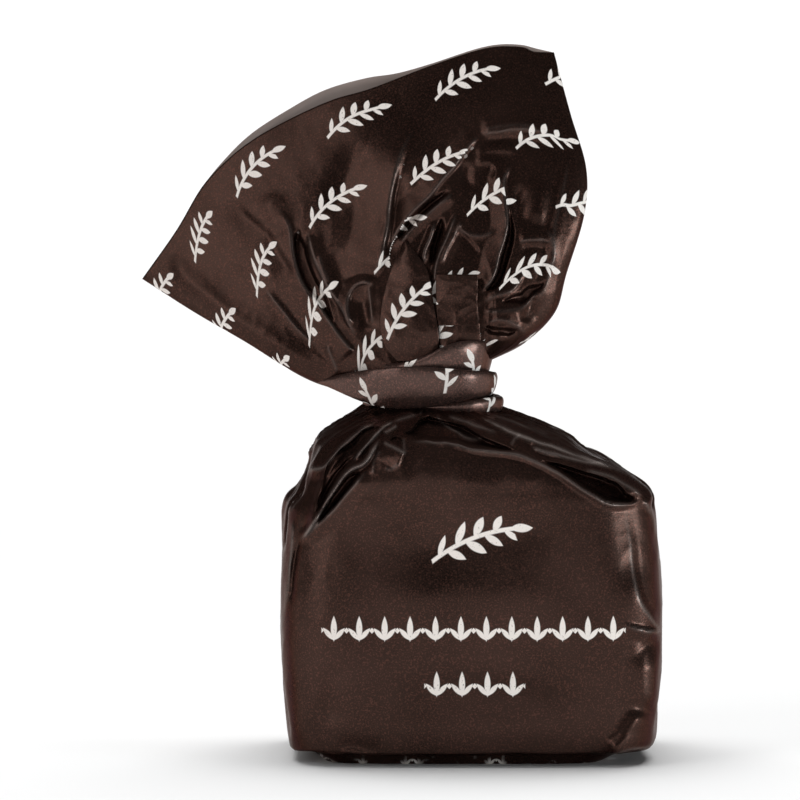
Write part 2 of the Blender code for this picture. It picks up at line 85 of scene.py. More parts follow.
# Outline of the fan, read as x and z from the neck to the rim and along the rim
FAN_LEFT = ((-8.8, 30.3), (-13.8, 31.6), (-19.4, 34.9), (-23.8, 37.4), (-28.3, 40.2))
FAN_RIGHT = (
    (1.2, 33.2), (4.4, 34.8), (7.0, 37.4), (8.0, 40.7), (9.5, 45.6),
    (9.7, 49.6), (8.4, 54.2), (7.0, 59.5),
)
RIM_FRONT = (
    (-28.3, 40.2), (-25.4, 44.3), (-23.2, 48.0), (-21.2, 50.2), (-18.8, 52.1), (-15.6, 53.9),
    (-12.0, 55.5), (-8.6, 56.5), (-3.6, 58.4), (1.1, 59.9), (4.1, 60.0), (5.3, 59.5), (7.0, 59.5),
)
RIM_BACK = (
    (-28.3, 40.2), (-25.4, 44.3), (-23.2, 48.0), (-21.2, 50.5), (-18.9, 52.7), (-15.8, 54.7),
    (-12.6, 56.4), (-9.1, 57.4), (-6.5, 57.8), (-3.6, 58.6), (1.1, 60.1), (4.1, 60.3), (7.0, 59.7),
)

# Folds: profile, height, widths on each side of the crest line, tapers at its start and end, and the crest line
# in x and z. Of a line that runs down, the first width is on its left seen from the front.
# Of a line that runs to the right, the first width is below it.
# A facet has flat sides, a crease a fine cusp, a roll is round, and a slot is a trough with steep walls.
FRONT_FOLDS = (
    # lip along the top of the front panel, and the deep pockets above it
    ("facet", 0.55, 0.45, 0.12, 0.12, 0.12, (
        (-5.6, 26.9), (-3.0, 26.9), (-1.4, 26.7), (0.2, 26.3), (2.0, 26.1), (3.6, 25.85), (4.8, 25.45),
        (6.0, 24.9), (7.3, 24.2), (8.8, 23.15), (10.0, 22.45), (10.9, 21.95), (12.2, 21.75), (13.8, 21.95),
    )),
    ("slot", -2.2, 0.10, 1.8, 0.20, 0.75, (
        (-6.4, 27.7), (-5.2, 27.15), (-3.0, 27.0), (-1.4, 26.8), (0.2, 26.4), (2.0, 26.2), (4.0, 25.85),
        (5.4, 25.3),
    )),
    ("slot", -2.4, 0.10, 1.75, 0.75, 0.25, (
        (3.2, 26.0), (4.8, 25.55), (6.0, 25.0), (7.3, 24.3), (8.8, 23.25), (10.0, 22.55), (10.9, 22.05),
        (12.2, 21.85), (13.2, 21.95), (14.1, 22.15),
    )),
    ("crease", 0.35, 0.3, 0.3, 0.10, 0.20, ((-3.2, 28.9), (-2.4, 28.2), (-1.4, 27.6), (-0.4, 27.2), (1.0, 26.95))),
    ("crease", 0.40, 0.3, 0.3, 0.10, 0.20, ((-2.2, 29.0), (-0.8, 28.5), (0.6, 28.0), (2.0, 27.5))),
    ("crease", 0.35, 0.3, 0.3, 0.10, 0.30, ((-4.2, 29.1), (-5.2, 28.85), (-6.2, 28.6), (-7.0, 28.3))),
    ("crease", 0.25, 0.3, 0.25, 0.10, 0.30, ((3.0, 26.6), (3.4, 27.2), (4.0, 27.6))),
    # shoulder ridges on the right
    ("facet", 0.95, 0.42, 0.9, 0.12, 0.12, (
        (0.4, 28.8), (1.6, 28.25), (2.6, 27.8), (4.9, 27.0), (7.2, 26.2), (9.6, 25.3), (12.0, 24.4), (13.8, 23.6),
        (14.5, 23.0),
    )),
    ("facet", 0.60, 0.18, 0.5, 0.10, 0.15, (
        (4.6, 26.6), (5.7, 26.2), (6.8, 25.85), (8.7, 25.35), (10.6, 24.9), (11.6, 24.4),
    )),
    ("facet", 0.30, 0.9, 0.2, 0.10, 0.15, ((1.4, 28.9), (3.0, 28.4), (5.0, 27.75), (6.4, 27.3))),
    ("facet", 0.40, 0.30, 0.7, 0.15, 0.15, (
        (9.0, 24.65), (10.2, 24.35), (11.4, 23.95), (12.4, 23.35), (13.4, 22.7), (13.95, 22.2),
    )),
    ("facet", 0.40, 0.25, 0.9, 0.15, 0.30, ((13.9, 22.1), (14.5, 21.3), (14.95, 20.3), (15.2, 18.6))),
    # ridges that fan out from the neck down the left shoulder, with valleys between
    ("facet", 0.80, 0.15, 0.9, 0.15, 0.12, (
        (-8.1, 28.3), (-9.0, 27.9), (-9.7, 27.5), (-10.8, 26.6), (-11.8, 25.5), (-12.5, 24.85), (-13.4, 24.5),
        (-14.1, 24.35),
    )),
    ("roll", 0.40, 0.7, 0.6, 0.20, 0.20, ((-11.6, 28.0), (-12.4, 27.0), (-13.2, 25.9), (-13.9, 24.8))),
    ("slot", -1.0, 1.0, 0.10, 0.25, 0.40, (
        (-7.2, 28.3), (-8.1, 27.65), (-8.8, 26.85), (-9.7, 26.0), (-10.6, 25.4), (-11.4, 24.6), (-12.2, 23.4),
        (-12.9, 22.0),
    )),
    ("roll", 1.05, 0.42, 0.36, 0.20, 0.20, (
        (-10.3, 26.3), (-10.9, 25.8), (-11.6, 25.0), (-12.2, 24.0), (-12.7, 23.0), (-13.0, 22.0), (-13.3, 21.0),
        (-14.0, 19.6),
    )),
    ("slot", -0.9, 0.75, 0.10, 0.30, 0.35, (
        (-9.0, 26.5), (-9.9, 25.4), (-10.5, 24.5), (-11.2, 23.8), (-11.8, 22.9), (-12.4, 22.0), (-12.9, 21.2),
        (-13.6, 20.3),
    )),
    ("facet", 0.95, 0.5, 0.15, 0.10, 0.20, (
        (-6.7, 28.5), (-7.5, 28.1), (-8.0, 27.6), (-8.6, 26.95), (-9.4, 26.0), (-10.1, 25.3),
    )),
    ("facet", 0.60, 0.2, 0.5, 0.10, 0.20, ((-6.4, 28.2), (-7.0, 27.85), (-7.6, 27.55))),
    ("facet", 1.10, 0.45, 0.15, 0.12, 0.15, (
        (-7.8, 27.2), (-8.35, 26.2), (-8.8, 25.5), (-9.3, 25.05), (-10.0, 24.75), (-10.7, 24.2), (-11.4, 23.3),
        (-12.0, 22.4), (-12.5, 21.4), (-13.2, 20.45), (-13.9, 19.5), (-14.5, 18.7),
    )),
    ("slot", -1.2, 0.75, 0.12, 0.30, 0.35, (
        (-8.9, 25.0), (-9.7, 24.0), (-10.6, 22.9), (-11.5, 21.8), (-12.5, 20.8), (-13.6, 19.8),
    )),
    ("facet", 0.45, 0.15, 1.1, 0.20, 0.12, (
        (-8.8, 24.8), (-9.6, 23.8), (-10.6, 22.7), (-11.5, 21.6), (-12.5, 20.6), (-13.4, 19.8), (-14.4, 18.8),
    )),
    # small crumpled tuck at the top left of the front panel
    ("facet", 0.60, 1.5, 0.24, 0.12, 0.10, ((-7.6, 26.9), (-6.7, 26.45), (-5.7, 25.95))),
    ("slot", -0.6, 0.05, 0.60, 0.30, 0.30, ((-7.2, 26.95), (-6.5, 26.7), (-5.9, 26.35))),
    ("crease", 0.12, 0.2, 0.2, 0.10, 0.10, ((-5.9, 27.15), (-5.85, 26.5), (-5.72, 25.9))),
    ("crease", 0.12, 0.25, 0.2, 0.15, 0.10, ((-7.7, 26.2), (-8.1, 25.75), (-8.35, 25.2), (-8.4, 24.3))),
    ("crease", 0.08, 0.25, 0.25, 0.10, 0.10, ((-7.4, 24.85), (-6.95, 24.75), (-6.2, 25.2))),
    # light ridge down the right of the panel, the pinch below it and the tucked corner
    ("roll", -0.28, 1.4, 1.4, 0.06, 0.30, ((12.6, 22.6), (12.8, 20.6), (13.0, 18.4), (13.2, 16.4), (13.5, 14.4))),
    ("facet", 0.44, 3.2, 0.6, 0.75, 0.05, (
        (12.4, 22.4), (12.6, 20.4), (12.9, 18.4), (13.1, 16.4), (13.5, 14.4), (13.8, 13.6), (14.4, 12.7),
        (15.0, 11.8), (15.6, 11.05),
    )),
    ("facet", 0.38, 1.0, 0.26, 0.55, 0.08, ((11.9, 12.0), (13.2, 11.6), (14.3, 11.3), (15.5, 11.05))),
    ("roll", 1.20, 1.9, 0.9, 0.45, 0.25, ((15.6, 10.8), (15.4, 9.0), (15.3, 7.0), (15.2, 4.4))),
    ("roll", 0.80, 0.8, 1.7, 0.25, 0.20, ((14.2, 4.9), (13.5, 3.9), (12.8, 2.9), (12.0, 1.9), (11.1, 1.0))),
    ("facet", 0.45, 0.15, 1.4, 0.10, 0.10, ((11.2, 1.0), (12.4, 1.35), (13.4, 1.5), (14.4, 1.4), (15.3, 1.35))),
    # slack in the front panel
    ("roll", 0.30, 3.4, 1.2, 0.30, 0.30, ((-12.5, 21.6), (-8.0, 24.2), (-3.0, 25.8), (1.0, 26.0))),
    ("roll", -0.22, 1.8, 2.2, 0.30, 0.30, ((-7.0, 17.4), (0.0, 19.2), (9.0, 19.8))),
    ("roll", 0.20, 2.2, 2.2, 0.30, 0.30, ((-9.0, 13.6), (0.0, 14.4), (9.0, 14.0))),
    ("roll", -0.20, 2.2, 2.2, 0.30, 0.30, ((-10.0, 7.4), (0.0, 8.2), (10.0, 7.6))),
    ("roll", 0.16, 2.0, 1.6, 0.30, 0.30, ((-11.0, 3.4), (0.0, 3.0), (10.0, 3.4))),
    # gusset down the left side
    ("crease", -0.5, 0.3, 0.3, 0.10, 0.30, ((-14.5, 18.8), (-14.85, 17.4), (-15.05, 15.6), (-15.1, 13.0))),
    ("crease", 0.45, 0.25, 0.25, 0.10, 0.30, ((-15.1, 20.5), (-15.25, 17.0), (-15.6, 13.5), (-15.9, 11.0))),
    ("roll", -0.25, 0.8, 1.0, 0.30, 0.30, ((-11.9, 9.0), (-12.1, 6.0), (-11.9, 3.0))),
    ("roll", -0.35, 0.5, 0.7, 0.30, 0.20, ((-11.6, 1.9), (-9.6, 1.7), (-7.6, 1.3))),
)
BACK_FOLDS = (
    ("roll", -1.6, 0.9, 1.1, 0.12, 0.25, ((-1.0, 28.4), (2.6, 27.0), (7.0, 24.4), (11.2, 20.8))),
    ("facet", 0.9, 1.2, 0.8, 0.12, 0.25, ((0.2, 29.0), (5.4, 27.6), (9.8, 25.2), (13.6, 21.4))),
    ("roll", -1.5, 0.9, 1.1, 0.12, 0.25, ((-6.4, 28.3), (-9.0, 25.8), (-11.4, 21.8), (-12.6, 17.4))),
    ("facet", 0.8, 0.8, 1.2, 0.12, 0.25, ((-5.2, 28.2), (-7.2, 25.2), (-9.4, 20.6), (-10.2, 16.0))),
    ("crease", -0.8, 0.7, 0.7, 0.12, 0.25, ((-2.8, 28.0), (-3.2, 24.6), (-2.4, 20.0))),
    ("facet", 0.5, 0.7, 0.9, 0.12, 0.30, ((-3.8, 28.4), (-4.6, 25.4), (-4.8, 21.8))),
    ("facet", 0.5, 0.9, 0.7, 0.12, 0.30, ((-1.8, 28.2), (-0.4, 25.4), (2.2, 22.0))),
    ("crease", -0.4, 0.4, 0.7, 0.20, 0.20, ((-14.6, 20.0), (-14.8, 14.0), (-14.6, 6.0))),
    ("crease", -0.4, 0.7, 0.4, 0.20, 0.20, ((14.2, 19.0), (14.7, 12.0), (14.4, 5.0))),
)
# Folds of the two sides. Here x is the depth: towards the back on the right side, towards the front on the left.
SIDE_FOLDS = (
    ("roll", -1.3, 0.8, 1.1, 0.12, 0.25, ((-0.4, 29.2), (-2.6, 25.4), (-5.2, 21.4), (-6.8, 16.6))),
    ("roll", -1.1, 0.9, 0.7, 0.12, 0.25, ((0.6, 29.2), (3.4, 25.6), (6.8, 21.8), (8.4, 17.2))),
    ("roll", -0.9, 0.6, 0.9, 0.12, 0.30, ((0.2, 28.6), (1.2, 24.6), (2.0, 20.6), (2.2, 15.4))),
    ("roll", -0.7, 0.5, 0.6, 0.15, 0.25, ((-1.2, 27.6), (-5.2, 24.4), (-9.6, 20.8))),
    ("roll", -0.7, 0.6, 0.5, 0.15, 0.25, ((1.6, 27.2), (6.0, 24.4), (10.2, 21.2))),
    ("roll", -0.5, 0.5, 0.5, 0.15, 0.25, ((-0.8, 28.2), (-1.4, 25.0), (-2.2, 21.8))),
    ("roll", -0.35, 1.2, 1.6, 0.30, 0.30, ((-10.0, 2.0), (-5.6, 5.6), (-2.4, 10.4))),
    ("roll", -0.35, 1.6, 1.2, 0.30, 0.30, ((10.0, 2.0), (6.4, 5.0), (4.2, 9.0))),
)
FAN_FRONT_FOLDS = (
    # left flag: soft roll inside its lower edge, a slack diagonal, faint creases
    ("roll", 0.35, 0.7, 0.8, 0.10, 0.20, (
        (-25.7, 42.6), (-24.7, 40.6), (-22.3, 38.6), (-20.6, 37.3), (-17.6, 35.3), (-14.3, 33.3), (-12.6, 32.2),
    )),
    ("roll", 0.24, 1.0, 0.5, 0.25, 0.15, (
        (-21.0, 47.2), (-19.2, 45.3), (-17.6, 43.9), (-16.4, 42.0), (-15.2, 40.3),
    )),
    ("roll", 0.22, 1.1, 1.1, 0.30, 0.30, ((-17.6, 47.8), (-17.0, 46.0), (-16.4, 44.2))),
    ("crease", 0.14, 0.4, 0.3, 0.20, 0.20, ((-17.8, 39.6), (-16.3, 37.8), (-14.7, 35.9), (-13.1, 34.6))),
    ("crease", 0.16, 0.3, 0.3, 0.20, 0.20, ((-12.4, 34.8), (-12.0, 33.8), (-11.4, 32.3))),
    # edge of the left flag where it laps over the deep valley, and the lines right of the valley
    ("facet", 0.45, 2.2, 0.12, 0.20, 0.05, (
        (-16.6, 46.4), (-15.6, 44.8), (-15.3, 42.8), (-14.8, 40.7), (-14.0, 39.2), (-13.1, 38.1), (-12.2, 36.8),
        (-11.2, 35.4), (-10.0, 34.0),
    )),
    ("slot", -0.9, 0.10, 1.15, 0.25, 0.45, (
        (-14.6, 45.2), (-15.1, 44.0), (-15.15, 42.6), (-14.7, 40.9), (-14.0, 39.4), (-13.1, 38.3), (-12.2, 37.0),
        (-11.2, 35.6),
    )),
    ("facet", 0.35, 0.12, 1.1, 0.12, 0.15, (
        (-14.0, 44.4), (-13.8, 43.2), (-13.4, 41.9), (-12.8, 40.6), (-12.3, 39.6), (-11.6, 38.6), (-11.0, 37.6),
        (-10.5, 36.5), (-9.8, 35.4),
    )),
    ("crease", 0.20, 0.2, 0.2, 0.20, 0.20, ((-13.1, 42.5), (-12.7, 41.1), (-12.1, 39.9))),
    # broad light ridge with a crisp right edge, the soft valleys beside it, and the round lobe at its foot
    ("facet", 0.50, 3.0, 0.50, 0.30, 0.10, (
        (-4.8, 53.2), (-5.8, 51.6), (-6.5, 49.6), (-7.0, 47.2), (-7.25, 44.8), (-7.7, 42.4), (-8.3, 40.4),
    )),
    ("roll", -0.35, 0.25, 0.60, 0.30, 0.20, ((-5.9, 50.0), (-6.4, 48.0), (-6.7, 46.2), (-7.0, 44.2), (-7.5, 42.0))),
    ("roll", -0.25, 1.0, 0.9, 0.30, 0.30, ((-9.6, 52.4), (-10.4, 50.2), (-11.4, 47.6), (-11.6, 45.2))),
    ("roll", -0.20, 0.8, 0.8, 0.30, 0.20, ((-12.2, 43.2), (-11.4, 41.4), (-10.8, 39.8))),
    ("facet", 0.38, 0.8, 0.15, 0.15, 0.15, (
        (-8.3, 39.7), (-9.2, 40.0), (-10.1, 39.6), (-10.6, 38.6), (-10.6, 37.4), (-10.2, 36.4),
    )),
    ("roll", -0.35, 0.7, 0.7, 0.30, 0.30, ((-9.3, 39.2), (-9.3, 37.8), (-8.8, 35.8))),
    ("crease", 0.20, 0.3, 0.3, 0.20, 0.20, ((-8.8, 40.0), (-8.7, 38.4), (-8.5, 36.4))),
    # long narrow pleat from the swirl down to the leaf flap, with a slit under it
    ("facet", 0.40, 1.4, 0.12, 0.10, 0.15, (
        (0.6, 52.6), (-0.8, 50.9), (-1.6, 49.8), (-2.7, 48.6), (-3.7, 47.3), (-5.0, 46.1), (-6.0, 44.9),
        (-6.7, 43.8), (-7.1, 42.6),
    )),
    ("slot", -0.8, 0.10, 0.60, 0.35, 0.25, (
        (-1.2, 48.2), (-2.2, 47.8), (-3.3, 47.1), (-4.3, 46.3), (-5.2, 45.4), (-6.0, 44.4), (-6.8, 43.2),
    )),
    ("facet", 0.40, 0.12, 0.8, 0.15, 0.15, (
        (-1.6, 47.7), (-2.1, 47.2), (-2.9, 46.6), (-3.8, 45.8), (-4.6, 45.1), (-5.5, 44.2), (-6.2, 43.2),
    )),
    # folds between the leaf flap and the square flap
    ("facet", 0.45, 0.5, 0.3, 0.20, 0.20, ((-3.2, 45.2), (-3.6, 43.8), (-4.1, 42.6), (-4.2, 41.4))),
    ("slot", -0.8, 0.12, 0.60, 0.30, 0.20, ((-2.6, 46.0), (-3.0, 44.6), (-3.5, 43.0), (-3.7, 41.2))),
    ("facet", 0.40, 0.2, 1.3, 0.15, 0.10, (
        (-1.4, 45.9), (-1.9, 44.6), (-2.4, 43.4), (-2.9, 42.3), (-3.2, 41.2), (-3.3, 39.8),
    )),
    ("crease", 0.20, 0.15, 0.15, 0.10, 0.10, ((-1.0, 45.2), (-1.6, 44.0), (-2.3, 42.7), (-2.7, 41.6))),
    ("facet", -0.28, 0.9, 0.15, 0.15, 0.20, ((-1.5, 44.7), (-0.8, 44.0), (-0.2, 43.3), (0.6, 42.4))),
    ("crease", 0.16, 0.3, 0.3, 0.15, 0.20, ((-1.5, 44.7), (-0.4, 44.1), (0.8, 44.0), (2.0, 44.4))),
    # tuck across the right of the fan, and the swirl under it
    ("facet", 0.30, 0.12, 1.5, 0.12, 0.20, ((0.6, 52.6), (2.0, 52.75), (3.6, 53.0), (5.4, 52.9), (7.2, 52.4))),
    ("crease", 0.12, 0.2, 0.3, 0.15, 0.20, ((0.8, 52.95), (2.2, 53.2), (3.9, 53.35), (5.4, 53.2))),
    ("roll", -0.25, 0.5, 0.3, 0.15, 0.20, ((0.8, 51.9), (3.0, 52.2), (5.0, 51.9), (7.2, 51.5))),
    ("roll", 0.22, 0.3, 0.35, 0.15, 0.15, (
        (0.2, 50.0), (0.9, 50.3), (1.6, 50.2), (2.0, 49.7), (2.0, 49.1), (1.6, 48.4),
    )),
    ("roll", 0.16, 0.3, 0.35, 0.20, 0.20, ((0.1, 50.8), (1.2, 51.2), (2.4, 51.3), (3.8, 51.1))),
    ("roll", -0.25, 0.5, 0.5, 0.30, 0.30, ((-0.4, 50.4), (-0.6, 49.0), (-0.2, 47.8))),
    # long fold down from the swirl and the deep slit right of it
    ("facet", 0.50, 1.5, 0.14, 0.15, 0.10, (
        (3.4, 50.1), (2.9, 49.4), (2.6, 48.4), (2.8, 46.4), (2.9, 44.8), (2.6, 43.5), (2.2, 42.3), (1.9, 41.0),
        (1.4, 40.0), (0.6, 39.2),
    )),
    ("slot", -0.9, 0.10, 0.70, 0.45, 0.15, (
        (3.1, 47.4), (3.0, 45.6), (2.95, 44.4), (2.65, 43.0), (2.3, 41.8), (2.0, 40.8), (1.5, 39.9), (0.7, 39.1),
    )),
    ("roll", -0.30, 0.4, 0.8, 0.30, 0.30, ((3.9, 48.6), (3.9, 46.4), (3.8, 44.4))),
    ("facet", 0.30, 0.12, 1.2, 0.20, 0.20, ((3.8, 43.5), (4.8, 43.6), (5.8, 43.6), (6.7, 43.4))),
    ("roll", -0.20, 0.5, 0.3, 0.25, 0.25, ((3.9, 42.9), (5.2, 43.0), (6.6, 42.9))),
    ("crease", 0.20, 0.5, 0.3, 0.20, 0.20, ((6.2, 44.6), (6.7, 43.6), (6.9, 42.4), (6.6, 41.0))),
    ("roll", 0.20, 0.9, 0.9, 0.30, 0.30, ((6.0, 49.0), (5.6, 46.8), (5.0, 44.8))),
    # band inside the right edge, and the dark pockets low on the right
    ("facet", 0.14, 0.9, 1.7, 0.20, 0.20, (
        (8.2, 50.6), (7.6, 47.6), (6.9, 44.4), (6.8, 42.2), (6.4, 40.4), (5.9, 39.2), (5.0, 38.0),
    )),
    ("roll", -0.22, 0.8, 0.4, 0.20, 0.20, ((7.4, 50.0), (6.9, 46.8), (6.2, 44.0), (6.0, 41.6), (5.4, 39.9))),
    ("slot", -0.9, 0.12, 0.90, 0.40, 0.40, (
        (1.8, 38.1), (2.8, 38.3), (3.6, 38.3), (4.3, 38.3), (5.0, 38.9), (5.9, 39.6), (6.4, 40.6),
    )),
    ("facet", 0.20, 0.15, 0.7, 0.15, 0.25, (
        (0.9, 38.4), (1.8, 38.9), (2.6, 39.1), (3.3, 39.4), (3.9, 40.1), (4.4, 41.2),
    )),
    ("facet", 0.22, 1.0, 0.12, 0.15, 0.20, (
        (0.8, 37.6), (2.0, 37.6), (3.2, 37.7), (4.1, 37.9), (4.8, 38.5), (5.4, 39.1), (6.0, 39.4),
    )),
    ("roll", -0.30, 0.4, 0.4, 0.20, 0.20, ((5.2, 38.9), (4.7, 37.8), (4.2, 36.6))),
    ("slot", -0.6, 0.60, 0.12, 0.30, 0.30, ((0.7, 36.5), (1.6, 36.2), (2.8, 36.1), (4.0, 35.9))),
    ("roll", 1.00, 1.0, 3.6, 0.30, 0.30, ((0.8, 35.2), (3.0, 35.4), (5.6, 36.8))),
    ("crease", 0.14, 0.25, 0.25, 0.20, 0.20, ((0.9, 36.6), (2.4, 36.9), (3.6, 36.4), (4.6, 35.6))),
)
FAN_BACK_FOLDS = (
    ("facet", 1.2, 2.6, 0.9, 0.30, 0.05, ((-20.0, 44.0), (-16.4, 39.6), (-9.0, 32.8))),
    ("roll", -0.65, 0.6, 0.6, 0.30, 0.05, ((-18.6, 44.6), (-15.2, 39.8), (-8.6, 33.2))),
    ("facet", 1.0, 0.9, 2.2, 0.30, 0.05, ((-15.4, 48.4), (-12.4, 42.4), (-7.2, 33.6))),
    ("facet", 1.1, 2.0, 0.9, 0.30, 0.05, ((-9.6, 51.8), (-8.0, 44.2), (-4.8, 34.4))),
    ("roll", -0.91, 0.6, 0.7, 0.30, 0.05, ((-8.4, 49.8), (-7.0, 43.2), (-4.2, 34.4))),
    ("facet", 1.0, 0.9, 1.8, 0.30, 0.05, ((-4.4, 52.6), (-4.0, 44.0), (-3.0, 34.8))),
    ("facet", 0.9, 1.8, 0.9, 0.30, 0.05, ((2.6, 51.2), (1.4, 43.0), (-0.8, 34.8))),
    ("roll", -0.78, 0.6, 0.6, 0.30, 0.05, ((3.6, 49.2), (2.0, 42.0), (-0.2, 34.8))),
    ("facet", 0.8, 0.9, 1.4, 0.30, 0.05, ((6.4, 47.2), (4.6, 40.6), (0.6, 34.6))),
    ("crease", 0.5, 0.6, 0.6, 0.30, 0.10, ((-11.6, 46.0), (-9.8, 40.0), (-6.0, 34.4))),
    ("crease", 0.5, 0.5, 0.6, 0.30, 0.10, ((-0.6, 49.0), (-0.8, 42.0), (-1.8, 35.4))),
)

# Strips wound round the neck: how far the print starts along them, then x, y, top and bottom at each place,
# from the front left round to the back
STRIPS = (
    ("neck_band", 3.45, (
        (-12.75, -0.6, 31.75, 31.35), (-11.4, -2.2, 32.15, 30.75), (-9.6, -3.7, 32.55, 30.0),
        (-7.6, -4.8, 32.85, 29.45), (-5.0, -5.5, 33.0, 29.45), (-2.4, -5.6, 32.85, 29.7), (-0.3, -4.9, 32.65, 30.15),
        (1.1, -3.0, 32.5, 30.35), (1.5, -0.5, 32.4, 30.4), (0.4, 3.2, 32.4, 30.0), (-3.6, 4.8, 32.3, 29.6),
        (-7.4, 3.7, 32.2, 29.9), (-8.8, 1.0, 31.8, 30.4),
    )),
    ("neck_strip_upper", 13.6, (
        (-7.2, -3.9, 33.2, 32.3), (-5.7, -4.8, 33.3, 32.2), (-3.9, -5.1, 33.95, 32.2), (-2.5, -5.1, 34.7, 32.2),
        (-1.2, -4.8, 35.1, 32.2), (0.2, -3.8, 35.15, 32.0), (0.95, -1.8, 34.9, 31.8), (1.0, 0.6, 34.8, 31.6),
        (0.1, 2.8, 34.6, 31.4), (-3.8, 4.2, 34.0, 31.4), (-7.2, 2.8, 33.0, 31.6),
    )),
    ("neck_strip_lower", 22.0, (
        (-4.2, -4.2, 29.7, 29.3), (-2.2, -4.9, 29.9, 29.05), (0.0, -4.4, 30.2, 28.75), (1.5, -2.8, 30.35, 28.75),
        (2.05, -0.4, 30.35, 28.95), (0.9, 3.2, 30.5, 29.0), (-4.0, 4.5, 30.5, 29.0), (-8.0, 3.1, 30.4, 29.2),
        (-8.9, 0.0, 30.2, 29.5),
    )),
)

# Flaps of film in front of the fan: how far the free end and the right edge stand off, the spot and the slope
# of one printed sprig, then height, left and right at each place
FLAPS = (
    ("flap_leaf", 0.05, 0.22, (-5.6, 37.7), 52, (
        (33.3, -6.4, -3.2), (34.4, -7.3, -2.9), (36.2, -7.9, -3.0), (37.9, -7.8, -3.3), (39.4, -7.5, -3.5),
        (41.1, -6.95, -3.9), (42.5, -6.3, -4.85), (43.45, -5.9, -5.6),
    )),
    ("flap_square_low", 0.10, 0.0, (-2.6, 35.9), 60, (
        (34.2, -2.8, 0.7), (35.6, -2.9, 0.6), (37.4, -2.9, 0.5), (38.0, -2.9, 0.4),
    )),
    ("flap_square", 0.25, 0.15, (-6.35, 38.6), 0, (
        (36.4, -3.0, 0.4), (37.6, -3.1, 0.35), (39.4, -3.15, 0.35), (40.7, -3.15, 0.4),
    )),
)

# Layers of the film seen on the front of the fan: outline in x and z, and where one printed sprig is centred on it
PRINT_LAYERS = (
    (((-40.0, 20.0), (20.0, 20.0), (20.0, 70.0), (-40.0, 70.0)), (-0.7, 57.1)),
    (((0.6, 52.4), (1.6, 51.2), (3.2, 50.2), (7.2, 50.2), (12.0, 50.2), (12.0, 30.0), (-6.0, 30.0),
      (-7.1, 42.6), (-6.0, 44.9), (-5.0, 46.1), (-3.7, 47.3), (-2.7, 48.6), (-1.6, 49.8), (-0.8, 50.9)), (1.9, 47.4)),
    (((3.4, 50.1), (2.9, 49.4), (2.6, 48.4), (2.8, 46.4), (2.9, 44.8), (2.6, 43.5), (2.2, 42.3), (1.9, 41.0),
      (1.4, 40.0), (0.6, 39.2), (0.6, 30.0), (14.0, 30.0), (14.0, 50.1)), (4.7, 41.1)),
)

# Print: width of its soft edge and how much of the printed sheet one unit of its map covers, then the colour of
# the pale lines along sharp crests, painted highlights that partly stand for film rubbed off there
PRINT_EDGE = 0.06
SHEET_UNIT = 100.0
CREST_HIGHLIGHT_AND_WEAR = (0.30, 0.26, 0.24, 1.0)

# Divisions of the film from bottom to top, and the narrowest side of a fold that they can show
BODY_ROWS = 245
FAN_ROWS = 205
STEEPEST = 0.26

# Rings that close the underside as shares of the lowest ring of the body, rings of the grey inside of the fan,
# and divisions of a flap from bottom to top and from side to side
BASE_RINGS = (0.93, 0.8, 0.6, 0.4, 0.2)
INSIDE_RINGS = 30
FLAP_ROWS, FLAP_COLUMNS = 70, 40

# Floor: radius of each of its rings and the divisions round it, how far out it is flat, and its rise beyond that
FLOOR_RINGS = np.array([120.0, 300.0, 700.0, 1300.0, 1700.0, 2100.0, 2600.0, 3200.0, 4000.0])
FLOOR_TURNS = 96
FLOOR_FLAT = 1300.0
FLOOR_RISE = 420.0

# Each light's name, place and size in metres and share of the key light's power, then the width of the photo
# and of the body in it, and the point the camera looks at
LIGHTS = (
    ("overhead", (0.0, 1.8, 5.0), 6.0, 0.0),
    ("left_high", (-0.38, -0.36, 0.36), 0.26, 0.26),
    ("left_low", (-0.42, -0.42, 0.16), 0.30, 0.28),
    ("right", (0.50, -0.22, 0.032), 0.22, 0.75),
)
PHOTO_WIDTH, BODY_IN_PHOTO = 800, 378
AIM = (-6.18, -2.0, 30.05)


class FilmSizes(bpy.types.PropertyGroup):
    """Sizes of the film and its folds."""

    thickness: bpy.props.FloatProperty(
        name="Film thickness", description="Thickness of the film at its cut edges", default=0.00009,
        min=0.00002, max=0.0005, precision=5, subtype="DISTANCE", unit="LENGTH",
    )
    fold_depth: bpy.props.FloatProperty(
        name="Fold depth", description="Share of the full depth of every fold", default=1.0, min=0.0, max=1.5,
        subtype="FACTOR",
    )
    crumple: bpy.props.FloatProperty(
        name="Crumple", description="Height of the fine creases between the folds", default=0.00010,
        min=0.0, max=0.001, precision=5, subtype="DISTANCE", unit="LENGTH",
    )
    strip_thickness: bpy.props.FloatProperty(
        name="Strip thickness", description="Thickness of the twisted film in the strips round the neck",
        default=0.0006, min=0.0002, max=0.002, precision=5, subtype="DISTANCE", unit="LENGTH",
    )
    columns: bpy.props.IntProperty(
        name="Columns", description="Divisions of the film round the pack", default=380, min=80, max=480,
    )


